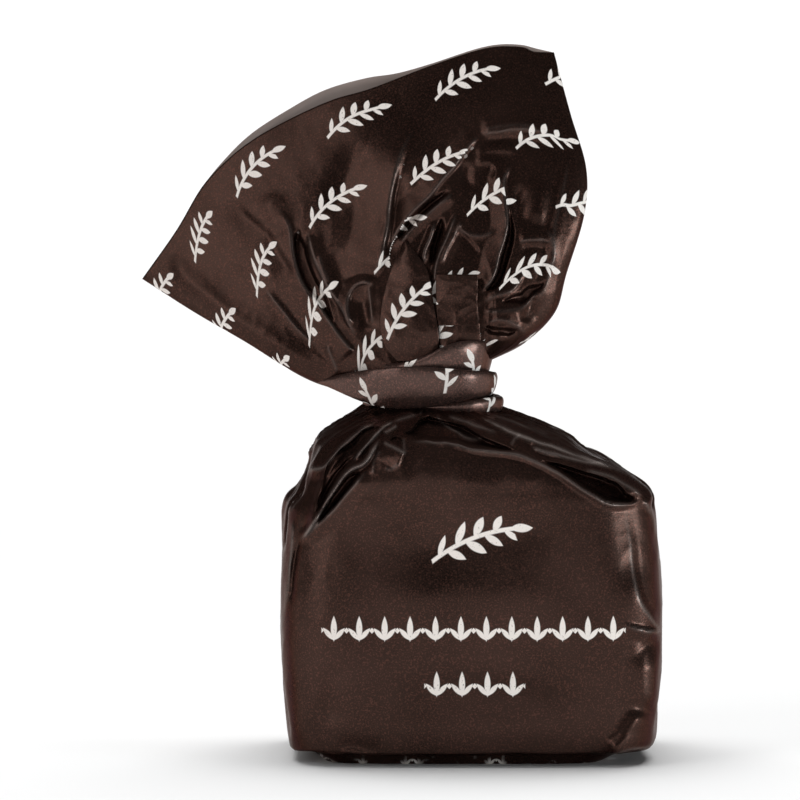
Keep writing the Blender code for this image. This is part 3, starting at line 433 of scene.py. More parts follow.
class FilmLook(bpy.types.PropertyGroup):
    """Colours and finish of the film and its print."""

    film: bpy.props.FloatVectorProperty(
        name="Film", description="Colour of the outside of the film", default=(0.041, 0.0233, 0.0185),
        size=3, min=0.0, max=1.0, subtype="COLOR",
    )
    inside: bpy.props.FloatVectorProperty(
        name="Inside", description="Colour of the grey inside of the film", default=(0.25, 0.20, 0.18),
        size=3, min=0.0, max=1.0, subtype="COLOR",
    )
    ink: bpy.props.FloatVectorProperty(
        name="Print", description="Colour of the cream print", default=(0.86, 0.79, 0.74),
        size=3, min=0.0, max=1.0, subtype="COLOR",
    )
    roughness: bpy.props.FloatProperty(
        name="Roughness", description="Roughness of the satin film", default=0.31, min=0.0, max=1.0, subtype="FACTOR",
    )
    row_pitch: bpy.props.FloatProperty(
        name="Row pitch", description="Distance between rows of the repeated sprig", default=0.0061,
        min=0.002, max=0.02, precision=4, subtype="DISTANCE", unit="LENGTH",
    )
    sprig_pitch: bpy.props.FloatProperty(
        name="Sprig pitch", description="Distance between sprigs in a row", default=0.0099,
        min=0.002, max=0.03, precision=4, subtype="DISTANCE", unit="LENGTH",
    )


class StudioSettings(bpy.types.PropertyGroup):
    """Light and camera."""

    lens: bpy.props.FloatProperty(
        name="Lens", description="Focal length of the camera in millimetres", default=250.0, min=35.0, max=400.0,
    )
    height_angle: bpy.props.FloatProperty(
        name="Camera height", description="Angle of the camera above the level", default=math.radians(2.0),
        min=0.0, max=1.2, subtype="ANGLE", unit="ROTATION",
    )
    key_power: bpy.props.FloatProperty(
        name="Key light", description="Power of the main soft light", default=1.6, min=0.0, max=50.0, unit="POWER",
    )
    surround: bpy.props.FloatProperty(
        name="Surround", description="Brightness of the white surroundings", default=0.07, min=0.0, max=3.0,
    )
    overhead: bpy.props.FloatProperty(
        name="Overhead light", description="Power of the wide light that whitens the floor", default=430.0,
        min=0.0, max=5000.0, unit="POWER",
    )


# Paths, folds and sections


def smoothstep(x):
    x = np.clip(x, 0.0, 1.0)
    return x * x * (3 - 2 * x)


def smooth_path(points, steps):
    """Catmull-Rom curve through the points, with this many steps in each span."""
    points = np.asarray(points, float)
    padded = np.vstack([2 * points[0] - points[1], points, 2 * points[-1] - points[-2]])
    t = np.linspace(0.0, 1.0, steps, endpoint=False)[:, None]
    out = []
    for i in range(len(points) - 1):
        a, b, c, d = padded[i : i + 4]
        bend, twist = 2 * a - 5 * b + 4 * c - d, 3 * b - a - 3 * c + d
        out.append(0.5 * (2 * b + (c - a) * t + bend * t**2 + twist * t**3))
    out.append(points[-1:])
    return np.vstack(out)


def run_of(path):
    """Length along a path up to each of its points."""
    return np.concatenate([[0.0], np.cumsum(np.linalg.norm(np.diff(path, axis=0), axis=1))])


def at_share(points, share):
    """Points at these shares of a path's length."""
    path = smooth_path(points, 12)
    run = run_of(path)
    where = np.asarray(share, float) * run[-1]
    return np.stack([np.interp(where, run, path[:, k]) for k in range(path.shape[1])], axis=-1)


def fold_field(points, fold, path):
    """Height of one fold at each point."""
    kind, height, left, right, start, end, _ = fold
    if kind == "facet":
        left, right = max(left, STEEPEST), max(right, STEEPEST)
    heights = np.zeros(points.shape[:-1]).reshape(-1)
    reach = 2.5 * max(left, right)
    box = np.all((points > path.min(axis=0) - reach) & (points < path.max(axis=0) + reach), axis=-1).reshape(-1)
    flat = points.reshape(-1, 3)[box]
    best = np.full(len(flat), np.inf)
    signed = np.zeros(len(flat))
    along = np.zeros(len(flat))
    run = run_of(path)
    for i in range(len(path) - 1):
        step = path[i + 1] - path[i]
        length = run[i + 1] - run[i]
        away = flat - path[i]
        held = np.clip((away @ step) / length**2, 0.0, 1.0)
        away -= held[:, None] * step
        distance = np.einsum("ij,ij->i", away, away)
        closer = distance < best
        best[closer] = distance[closer]
        signed[closer] = (step[0] * away[:, 2] - step[2] * away[:, 0])[closer]
        along[closer] = ((run[i] + held * length) / run[-1])[closer]
    best = np.sqrt(best)
    share = best / np.where(signed > 0, right, left)
    if kind == "facet":
        crest = np.maximum(1.0 - share, 0.0)
    elif kind == "crease":
        crest = np.maximum(1.0 - 0.5 * share, 0.0) ** 2.2
    elif kind == "slot":
        width = smoothstep(along / start) * smoothstep((1 - along) / end)
        across = np.where(signed > 0, best, -best)
        wall = max(STEEPEST, 0.18 * abs(height))
        crest = smoothstep((across + left * width) / wall) * smoothstep((right * width - across) / wall)
    else:
        crest = np.exp(-(share**1.9))
    taper = smoothstep(along / start) * smoothstep((1 - along) / end)
    heights[box] = height * crest * (smoothstep(taper * 4) if kind == "slot" else taper)
    return heights.reshape(points.shape[:-1])


def ring_angles(front, back):
    """Angles round a ring, from the left edge across the front to the right edge and back behind.

    They lie closest together in the middle of the front.
    """
    half = front // 2
    side = half // 5
    edge = np.linspace(0.0, 0.40, side, endpoint=False)
    left = np.concatenate([edge, np.linspace(0.40, 1.0, half - side, endpoint=False)])
    right = 2.0 - np.concatenate([left[1:], [1.0]])[::-1]
    near = np.concatenate([left, right]) * math.pi / 2
    far = np.linspace(math.pi, 2 * math.pi, back, endpoint=False)
    return np.concatenate([near, far])


def even_angles(front, back):
    """As ring_angles, with the divisions spread more evenly across the width."""
    out = []
    for start, count in ((0.0, front), (math.pi, back)):
        share = np.linspace(0.0, 1.0, count, endpoint=False)
        out.append(start + 0.4 * math.pi * share + 0.6 * np.arccos(1 - 2 * share))
    return np.concatenate(out)


def body_grid(angles, rows):
    """Level sections of the body, closer together where the shoulders turn in."""
    half_w, half_d = PACK_WIDTH / 2, PACK_DEPTH / 2
    dense = smooth_path(np.asarray(BODY_STATIONS) * (1, half_w, half_w, half_d, half_d, 1), 12)
    middle = (dense[:, 1] + dense[:, 2]) / 2
    size = (dense[:, 2] - dense[:, 1]) / 2 - dense[:, 3]
    run = run_of(np.stack([size, middle, dense[:, 0]], axis=-1))
    where = np.linspace(0.0, run[-1], rows)
    picked = np.stack([np.interp(where, run, dense[:, k]) for k in range(6)], axis=-1)
    turn = np.linspace(0.0, 2 * math.pi, 721)
    c, s = np.cos(turn), np.sin(turn)
    rings = []
    for z, left, right, front, back, power in picked:
        x = (left + right) / 2 - (right - left) / 2 * np.sign(c) * np.abs(c) ** (2 / power)
        y = -np.where(s > 0, -front, back) * np.sign(s) * np.abs(s) ** (2 / power)
        length = run_of(np.stack([x, y], axis=-1))
        quarters = length[[0, 180, 360, 540, 720]]
        place = np.interp(angles, np.linspace(0.0, 2 * math.pi, 5), quarters)
        ring = [np.interp(place, length, x), np.interp(place, length, y), np.full(len(angles), z)]
        rings.append(np.stack(ring, axis=-1))
    return np.stack(rings)


def fan_ring(angles, t):
    """One ring of the smooth fan, and the middle depth between its two layers. t runs from the neck to the rim."""
    c, s = np.cos(angles), np.sin(angles)
    across = (1 - c) / 2
    a = across[:, None]
    left, right = at_share(FAN_LEFT, [t])[0], at_share(FAN_RIGHT, [t])[0]
    low_l, low_r = np.asarray(FAN_LEFT[0]), np.asarray(FAN_RIGHT[0])
    mix = smoothstep(0.5 + 0.5 * s)[:, None]
    top = at_share(RIM_FRONT, across) * mix + at_share(RIM_BACK, across) * (1 - mix)
    ends = np.asarray(RIM_FRONT[0]), np.asarray(RIM_FRONT[-1])
    corners = (1 - t) * ((1 - a) * low_l + a * low_r) + t * ((1 - a) * ends[0] + a * ends[1])
    flat = (1 - t) * (low_l + (low_r - low_l) * a) + t * top + (1 - a) * left + a * right - corners
    half = np.interp(t, (0.0, 0.12, 0.3, 0.6, 1.0), (NECK_HALF_DEPTH, 3.9, 3.4, 2.5, 1.10))
    half = half * np.abs(s) ** (1.0 - 0.62 * smoothstep(t * 2))
    middle = LEAN_BACK * t**2 + 0.9 * t * np.sin(2 * math.pi * (0.85 * across + 0.12))
    return np.stack([flat[:, 0], middle - np.sign(s) * half, flat[:, 1]], axis=-1), middle


def grid_normals(grid):
    down = np.gradient(grid, axis=0)
    round_ring = np.roll(grid, -1, axis=1) - np.roll(grid, 1, axis=1)
    normal = np.cross(round_ring, down)
    return normal / np.maximum(np.linalg.norm(normal, axis=-1, keepdims=True), 1e-9)


def seen_folds(grid, folds):
    """Summed height of the folds at each point, read in the front view."""
    flat = grid * (1.0, 0.0, 1.0)
    return sum(fold_field(flat, fold, smooth_path([(x, 0.0, z) for x, z in fold[-1]], 5)) for fold in folds)


def crest_highlights_and_wear(grid, folds, share=1.0):
    """How far each point takes the pale crest colour: fine lines along the crests of sharp folds, painted highlights,
    partly rubbed film.
    """
    sharp = [fold for fold in folds if fold[0] in ("facet", "crease") and fold[1] > 0]
    lines = [("crease", 0.12 + 0.45 * fold[1], 0.15, 0.15, *fold[4:]) for fold in sharp]
    return np.minimum(share * seen_folds(grid, lines), 1.0)


def noise_at(points):
    return np.array([noise.noise(Vector(p)) for p in points.reshape(-1, 3)]).reshape(points.shape[:-1])


def ridged(points, size, seed):
    """Sharp-crested noise between 0 and 1, with crests about this far apart."""
    first = 1 - 2 * np.abs(noise_at(points / size + seed))
    second = 1 - 2 * np.abs(noise_at(points / size * 2.1 + seed + 5.3))
    return np.clip(0.7 * first + 0.3 * second, 0.0, 1.0) ** 1.5


def streaks(angle, reach, wide, long, seed):
    """Ridges that run out from the neck: narrow across the angle, long along the reach."""
    angle, reach = np.broadcast_arrays(angle, reach)
    place = np.stack([np.cos(angle) * wide, np.sin(angle) * wide, reach / long + seed], axis=-1)
    return 1 - 2.4 * np.abs(noise_at(place))


def facing(normal):
    """How far the film faces one way, from that part of its normal."""
    return smoothstep((normal - 0.05) / 0.35)


def film_body(sizes):
    """The film round the sweet from the edge of the base up to the neck, and its painted crest highlights, partly
    rubbed film.
    """
    front_columns = sizes.columns * 2 // 3
    grid = body_grid(ring_angles(front_columns, sizes.columns - front_columns), BODY_ROWS)
    normal = grid_normals(grid)
    x, y, z = np.moveaxis(grid, -1, 0)
    front = smoothstep(0.5 - y / 5)
    foot = smoothstep((z - 0.25) / 0.9)
    ahead = facing(-normal[..., 1]) * smoothstep(-y / 3.0)
    behind = facing(normal[..., 1]) * smoothstep(y / 3.0)
    folds = (seen_folds(grid, BACK_FOLDS) * behind - seen_folds(grid, FRONT_FOLDS) * ahead) * sizes.fold_depth * foot
    # Pale lines along the crests of the sharp folds: painted highlights, partly film rubbed light
    highlight_and_wear = crest_highlights_and_wear(grid, FRONT_FOLDS) * smoothstep(-y)
    off_neck = x - NECK_CENTRE_X
    side = np.sign(off_neck)
    across = np.stack([y * side, y * 0.0, z], axis=-1)
    aside = seen_folds(across, SIDE_FOLDS) * facing(np.abs(normal[..., 0])) * side * sizes.fold_depth * foot
    aside *= smoothstep((26.0 - z) / 3.0)
    below = np.maximum(NECK_HEIGHT - 0.6 - z, 0.0) + 0.35 * np.hypot(off_neck, y)
    turn = np.arctan2(y, off_neck)
    panel = smoothstep((-y - 11.0) / 2.0) * smoothstep((PANEL_TOP - z) / 2.0)
    panel *= smoothstep((PANEL_HALF_WIDTH - np.abs(x)) / 2.5)
    reach = 0.45 * np.exp(-below / 5.0) * (1 - 0.6 * front) + 0.9 * np.exp(-below / 12.0) * (1 - front)
    push = reach * (streaks(turn, below, 2.6, 9.0, 3.0) - 0.4)
    push += 0.20 * np.exp(-below / 7.0) * streaks(turn, below, 7.0, 5.0, 8.0)
    fine = ridged(grid * (1, 1, 0.8), 3.4, 1.7) - 0.3
    push += sizes.crumple / MM * fine * (1.0 - 0.75 * panel) * (0.6 + 1.4 * np.exp(-below / 8.0))
    push += (0.20 + 0.25 * (1 - front)) * noise_at(grid / 9.0 + 4.0) * (1 - 0.5 * panel)
    push += 0.10 * noise_at(grid * (0.05, 0.05, 0.22) + (0.02, 0.0, 7.0) + grid[..., :1] * (0.0, 0.0, 0.06)) * panel
    push *= foot
    lip = BASE_EDGE + 0.18 * noise_at(grid * (0.22, 0.22, 0.0) + 3.0)
    recess = (1.35 + 1.1 * front) * (1 - smoothstep((z - lip) / 0.18 + 0.5))
    grid = grid + normal * push[..., None] - normal * (1.0, 1.0, 0.0) * recess[..., None]
    grid[..., 0] += aside
    grid[..., 1] += folds
    grid[..., 2] = np.maximum(grid[..., 2], 0.02)
    grid[0, :, 2] = 0.0
    highlight_and_wear *= smoothstep((-grid_normals(grid)[..., 1] - 0.05) / 0.2)
    return grid, highlight_and_wear


def inside_outline(x, z, outline):
    """Whether each point lies inside the closed outline."""
    inside = np.zeros(x.shape, bool)
    for (x1, z1), (x2, z2) in zip(outline, outline[1:] + outline[:1]):
        if z1 != z2:
            cut = (z1 > z) != (z2 > z)
            inside ^= cut & (x < (x2 - x1) * (z - z1) / (z2 - z1) + x1)
    return inside


def print_shift(u, v, gap, look):
    """How far the print moves so that a sprig is centred where gap is smallest."""
    row, pitch = look.row_pitch / MM, look.sprig_pitch / MM
    near = np.unravel_index(np.argmin(gap), gap.shape)
    down = (0.5 * row - v[near]) % row
    line = round((v[near] + down) / row - 0.5)
    along = (0.5 * pitch - u[near] - (line % 2) * pitch / 2) % pitch
    return along, down


def film_fan(sizes, look):
    """The film above the neck: its outer face ring by ring, and where each point lies on the printed sheet."""
    columns, front = sizes.columns, sizes.columns * 3 // 4
    angles = even_angles(front, columns - front)
    s = np.sin(angles)
    shares = np.linspace(0.0, 1.0, FAN_ROWS)
    fan, middle = (np.stack(part) for part in zip(*(fan_ring(angles, t) for t in shares)))
    t = shares[:, None]
    flat = fan * (1.0, 0.0, 1.0)
    push = seen_folds(fan, FAN_FRONT_FOLDS) * (s > 0) + seen_folds(fan, FAN_BACK_FOLDS) * (s < 0)
    # Pale lines along the crests of the sharp folds: painted highlights, partly film rubbed light
    highlight_and_wear = crest_highlights_and_wear(fan, FAN_FRONT_FOLDS, 0.6) * (s > 0)
    push *= sizes.fold_depth
    push += 0.35 * np.exp(-t / 0.10) * streaks(angles[None, :], 12 * t, 3.2, 9.0, 6.0)
    push += 0.15 * np.exp(-t / 0.28) * streaks(angles[None, :], 24 * t, 6.0, 8.0, 2.0)
    fine = ridged(flat + (0.0, 30.0, 0.0) * np.sign(s)[None, :, None], 3.2, 6.1) - 0.3
    push += sizes.crumple / MM * fine * (0.35 + 1.6 * np.exp(-t / 0.45))
    edge = np.abs(s) ** 0.5
    push *= edge * (1 - 0.55 * smoothstep((t - 0.72) / 0.28))
    smooth = fan.copy()
    half = np.abs(fan[..., 1] - middle)
    wall = sizes.thickness / MM
    half = np.maximum(half + push, np.minimum(half, wall + 0.12))
    middle = middle + 0.25 * noise_at(flat / 6.0 + 2.0) * smoothstep(t * 2) * edge
    fan[..., 1] = middle - np.sign(s) * half
    tight = 1 + 0.6 * smoothstep((0.36 - (1 - np.cos(angles)) / 2) / 0.22)
    step = np.linalg.norm(np.roll(smooth, -1, axis=1) - smooth, axis=-1) * tight
    run = np.concatenate([np.zeros((FAN_ROWS, 1)), np.cumsum(step, axis=1)], axis=1)
    squeeze = (run[:, -1:] / run[-1, -1]) ** 0.35
    rise = np.linalg.norm(np.diff(flat, axis=0), axis=-1)
    length = np.concatenate([np.zeros((1, columns)), np.cumsum(rise, axis=0)])
    below = length - length[-1:]
    v = np.concatenate([below, below[:, :1]], axis=1)
    centres = int(front * 0.76), front + int((columns - front) * 0.4)
    sheets = [((run - run[:, [centre]]) / squeeze, v) for centre in centres]
    around = np.concatenate([flat, flat[:, :1]], axis=1)[..., [0, 2]]
    moves = []
    for outline, spot in PRINT_LAYERS:
        gap = np.hypot(*np.moveaxis(around - np.asarray(spot), -1, 0))
        gap[:, front:] = np.inf
        moves.append((outline, print_shift(*sheets[0], gap, look)))
    return fan, middle, highlight_and_wear, sheets, front, around, moves


def new_object(name, data):
    """An object at the origin of the scene."""
    obj = bpy.data.objects.new(name, data)
    bpy.context.scene.collection.objects.link(obj)
    return obj


def new_mesh(name, points, faces, materials):
    """A smooth mesh object from points in millimetres."""
    mesh = bpy.data.meshes.new(name)
    mesh.from_pydata((np.asarray(points, float) * MM).tolist(), [], faces)
    for material in materials:
        mesh.materials.append(material)
    mesh.validate()
    mesh.shade_smooth()
    return new_object(name, mesh)


def face_out(obj):
    """Turns the faces of a mesh outwards."""
    work = bmesh.new()
    work.from_mesh(obj.data)
    bmesh.ops.recalc_face_normals(work, faces=work.faces)
    work.to_mesh(obj.data)
    work.free()


def ring_faces(rows, columns):
    """Faces between closed rings of points that follow each other."""
    r = np.arange(rows - 1)[:, None] * columns
    i = np.arange(columns)[None, :]
    j = (i + 1) % columns
    return np.stack([r + i, r + j, r + columns + j, r + columns + i], axis=-1).reshape(-1, 4)


# Node trees: sums are written as Python sums on wrapped sockets


def one_node(operation):
    """A method that puts a socket, and another where it takes one, through a maths node."""
    return lambda number, *others: number.math(operation, *others)


class Number:
    """A number socket that takes part in sums."""

    def __init__(self, tree, socket):
        self.tree, self.socket = tree, socket

    def math(self, operation, *others, clamp=False):
        settings = {"operation": operation, "use_clamp": clamp}
        return Number(self.tree, self.tree.out("ShaderNodeMath", settings, dict(enumerate((self, *others)))))

    __add__ = one_node("ADD")
    __sub__ = one_node("SUBTRACT")
    __mul__ = one_node("MULTIPLY")
    __truediv__ = one_node("DIVIDE")
    __pow__ = one_node("POWER")
    __mod__ = one_node("FLOORED_MODULO")
    __lt__ = one_node("LESS_THAN")
    __abs__ = one_node("ABSOLUTE")
    high = one_node("MAXIMUM")
    low = one_node("MINIMUM")

    def __rsub__(self, other):
        return self * -1.0 + other

    def held(self):
        """The number kept between 0 and 1."""
        return self.math("ADD", 0.0, clamp=True)


class Tree:
    """Adds nodes to a shader or geometry tree."""

    def __init__(self, tree):
        self.tree = tree

    def node(self, kind, settings=None, inputs=None):
        made = self.tree.nodes.new(kind)
        for key, value in (settings or {}).items():
            setattr(made, key, value)
        self.fill(made, inputs or {})
        return made

    def out(self, kind, settings=None, inputs=None):
        """The first output of a new node."""
        return self.node(kind, settings, inputs).outputs[0]

    def fill(self, node, inputs):
        """Sets or links each of these inputs of a node."""
        for key, value in inputs.items():
            socket = node.inputs[key]
            if isinstance(value, Number):
                value = value.socket
            if isinstance(value, bpy.types.NodeSocket):
                self.tree.links.new(value, socket)
            else:
                socket.default_value = value

    def parts(self, vector):
        split = self.node("ShaderNodeSeparateXYZ", None, {0: vector})
        return [Number(self, out) for out in split.outputs]

    def vector(self, x, y, z):
        return self.out("ShaderNodeCombineXYZ", None, {0: x, 1: y, 2: z})

    def colour(self, share, first, second):
        """First colour where share is 0, second where it is 1."""
        return self.node("ShaderNodeMix", {"data_type": "RGBA"}, {0: share, 6: first, 7: second}).outputs[2]

    def noise(self, vector, scale, detail=2.0, rough=0.5):
        inputs = {"Vector": vector, "Scale": scale, "Detail": detail, "Roughness": rough}
        return Number(self, self.out("ShaderNodeTexNoise", None, inputs))

    def stored(self, geometry, name, value, kind="FLOAT", domain="POINT"):
        """The geometry with a named value kept at each of its points or corners."""
        settings = {"data_type": kind, "domain": domain}
        inputs = {"Geometry": geometry, "Name": name, "Value": value}
        return self.out("GeometryNodeStoreNamedAttribute", settings, inputs)

    def recalled(self, name, kind="FLOAT"):
        """The value kept under this name."""
        return self.out("GeometryNodeInputNamedAttribute", {"data_type": kind}, {"Name": name})


def turned(x, y, angle):
    """The place x, y in a frame turned by this angle."""
    c, s = math.cos(angle), math.sin(angle)
    return x * c + y * s, y * c - x * s


def leaf(along, across, length, half):
    """Mask of a leaf that starts at along = 0, in millimetres."""
    q = along / (length / 2) - 1.0
    return ((1.0 - q * q) * half - abs(across)) / PRINT_EDGE + 0.5


def sprig(x, y):
    """Mask of a small leafy sprig about 6 mm long, centred on x = y = 0."""
    bent = y + x * x * 0.055 - 0.25
    stem = ((0.13 - abs(bent)) / PRINT_EDGE + 0.5).low((x + 3.0) / PRINT_EDGE).low((2.4 - x) / PRINT_EDGE)
    side = bent < 0.0
    cell = (x + side * 0.6 + 0.1) % 1.2
    near = 1.0 - abs(x) * 0.13
    along, across = turned(cell, abs(bent), math.radians(48))
    leaves = leaf(along / near, across / near, 1.55, 0.27)
    leaves = leaves.low((x + 2.7 - side * 0.75) / PRINT_EDGE).low((2.3 - x) / PRINT_EDGE)
    tip = leaf(x - 2.1, bent, 1.3, 0.27)
    return stem.high(leaves).high(tip).held()


def sprout_row(x, y, count, pitch=2.1):
    """Mask of a row of three-leaved sprouts, centred on x = y = 0."""
    wide = count * pitch / 2
    cell = (x + wide) % pitch - pitch / 2
    up = y + 1.0
    middle = leaf(up, cell, 2.1, 0.25)
    aside = abs(cell)
    sides = leaf(*turned(up - 0.1, aside, math.radians(42)), 1.35, 0.20)
    dot = (0.24 - (abs(aside - pitch / 2) + abs(y + 0.1))) / PRINT_EDGE + 0.5
    inside = (wide - abs(x)) / PRINT_EDGE
    return middle.high(sides).high(dot).low(inside).held()


def new_material(name):
    """A material with its tree and its shader."""
    material = bpy.data.materials.new(name)
    material.use_nodes = True
    return material, Tree(material.node_tree), material.node_tree.nodes["Principled BSDF"]


def film_material(name, look, print_mask, painted_light_scale=1.0, bright=1.0, lines=False):
    """Satin dark film with a fine grain, and the print that print_mask draws on it.

    A scale on the film's colour paints it lighter or darker for the light and shade on each piece, bright scales
    the print, and lines adds pale lines along its sharp folds, painted highlights that partly stand for rubbed film.
    """
    material, tree, shader = new_material(name)
    place = tree.node("ShaderNodeTexCoord").outputs["Object"]
    x, y, z = (part * (1 / MM) for part in tree.parts(place))
    mask = print_mask(tree, x, y, z)
    grain = tree.noise(place, 7000.0, 2.0, 0.6)
    cloud = tree.noise(place, 160.0, 3.0)
    # Painted light and shade: the film's colour is made lighter or darker for each piece, about twice as light on the
    # neck strips, a little lighter on the panel, darker on the fan
    base = [c * painted_light_scale**k for c, k in zip(look.film, (1.0, 1.15, 1.25))]
    deep = (*[0.72 * c for c in base], 1.0)
    light = (*[1.35 * c for c in base], 1.0)
    speck = (3.0 * base[0], 2.3 * base[1], 2.2 * base[2], 1.0)
    film = tree.colour((cloud * 1.6 - 0.3).held(), deep, light)
    film = tree.colour(((grain - 0.52) * 7.0).held() * 0.6, film, speck)
    ink_wear = (1.0 - (grain - 0.62) * 6.0).held() * 0.9 + 0.1
    metal = (1.0 - mask) * 0.8
    # Pale lines along the crests: painted highlights, partly film rubbed light; they also take the metal off
    if lines:
        highlight_and_wear_fac = Number(tree, tree.node("ShaderNodeAttribute", {"attribute_name": "HighlightAndWear"}).outputs["Fac"])
        film = tree.colour(highlight_and_wear_fac, film, CREST_HIGHLIGHT_AND_WEAR)
        metal = metal * (1.0 - highlight_and_wear_fac)
    film = tree.colour(mask * ink_wear, film, (*[min(c * bright, 1.0) for c in look.ink], 1.0))
    rough = (cloud - 0.5) * 0.16 + (grain - 0.5) * 0.25 + mask * 0.12 + look.roughness
    ripple = tree.noise(place, 900.0, 3.0, 0.6)
    high = grain * 0.000012 + ripple * 0.00004
    bump = tree.out("ShaderNodeBump", None, {"Strength": 0.55, "Distance": 1.0, "Height": high})
    tree.fill(shader, {
        "Base Color": film, "Metallic": metal, "Roughness": rough.held(), "Normal": bump,
        "Specular IOR Level": 0.12, "Specular Tint": (0.42, 0.32, 0.29, 1.0),
    })
    return material


def inside_material(look):
    """The dull grey inside of the film."""
    material, tree, shader = new_material("film_inside")
    place = tree.node("ShaderNodeTexCoord").outputs["Object"]
    cloud = tree.noise(place, 260.0, 3.0)
    grain = tree.noise(place, 9000.0, 2.0)
    dark, pale = ((*[share * c for c in look.inside], 1.0) for share in (0.8, 1.15))
    grey = tree.colour((cloud * 1.6 - 0.3).held(), dark, pale)
    tree.fill(shader, {"Base Color": grey, "Roughness": (grain * 0.2 + 0.42).held()})
    return material


def panel_print(tree, x, y, z):
    """Mask of the large sprig and the two rows of sprouts on the front panel, and of the sprouts under the base."""
    big = 1.38
    badge = sprig(*turned((x - 0.2) / big, (z - 18.8) / big, math.radians(20)))
    first = sprout_row(x + 0.1, z - 11.5, 12)
    second = sprout_row(x, z - 6.9, 4)
    front = ((-9.0 - y) / 0.5).held()
    patchy = (tree.noise(tree.node("ShaderNodeTexCoord").outputs["Object"], 420.0, 1.0) * 9.0 - 4.4).held()
    under = sprout_row(x * 1.8 + 3.0, z * 1.7 - 0.7, 26) * ((0.85 - z) / 0.2).held() * patchy * 0.7
    return (badge.high(first).high(second) * front).high(under)


def sheet_print(look, tilt):
    """Print of sprigs in half-dropped rows on the printed sheet, tilted by this angle."""
    row, pitch = look.row_pitch / MM, look.sprig_pitch / MM

    def mask(tree, *_):
        uv = tree.parts(tree.out("ShaderNodeUVMap", {"uv_map": "Sheet"}))
        u, v = uv[0] * SHEET_UNIT, uv[1] * SHEET_UNIT
        line = (v / row).math("FLOOR")
        x = (u + (line % 2.0) * (pitch / 2)) % pitch - pitch / 2
        return sprig(*turned(x, v % row - row / 2, tilt))

    return mask


def store_sheet(mesh, values):
    """Keeps each corner's place on the printed sheet. values is one pair for each corner, in millimetres."""
    layer = mesh.uv_layers.new(name="Sheet")
    layer.data.foreach_set("uv", (np.asarray(values, float) / SHEET_UNIT).reshape(-1))


def store_highlight_and_wear(mesh, values):
    """Keeps how far each point takes the pale crest lines, painted highlights that partly stand for rubbed film."""
    layer = mesh.attributes.new("HighlightAndWear", "FLOAT", "POINT")
    layer.data.foreach_set("value", values.astype(np.float32))


class TRUFFLE_OT_body(bpy.types.Operator):
    """Make the film round the sweet, from the folded base up to the neck"""

    bl_idname = "truffle.body"
    bl_label = "Film body"

    def execute(self, context):
        sizes, look = context.scene.truffle_sizes, context.scene.truffle_look
        grid, highlight_and_wear = film_body(sizes)
        rows, columns = highlight_and_wear.shape
        cap = []
        for share in BASE_RINGS:
            ring = grid[0] * (share, share, 0.0)
            x, y = np.abs(ring[:, 0]), np.abs(ring[:, 1])
            seam = np.exp(-(((x - y * 1.1) / 0.25) ** 2)) + np.exp(-((x / 0.3) ** 2)) * (y < 9)
            ring[:, 2] = 0.12 * np.clip(seam, 0.0, 1.0)
            cap.append(ring)
        points = np.concatenate([*cap[::-1], *grid, [[0.0, 0.0, 0.0]], [grid[-1].mean(axis=0) + (0, 0, 1.2)]])
        total = len(cap) + rows
        faces = ring_faces(total, columns).tolist()
        bottom, top = len(points) - 2, len(points) - 1
        last = (total - 1) * columns
        for i in range(columns):
            j = (i + 1) % columns
            faces += [(j, i, bottom), (last + i, last + j, top)]
        # Painted light: the panel's film is made a little lighter
        film = film_material("film_panel", look, panel_print, 1.06, 1.1, lines=True)
        obj = new_mesh("wrapper_body", points, faces, [film])
        store_highlight_and_wear(obj.data, np.concatenate([np.zeros(len(cap) * columns), highlight_and_wear.reshape(-1), np.zeros(2)]))
        face_out(obj)
        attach(obj, BODY)
        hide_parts(NODE)
        return {"FINISHED"}


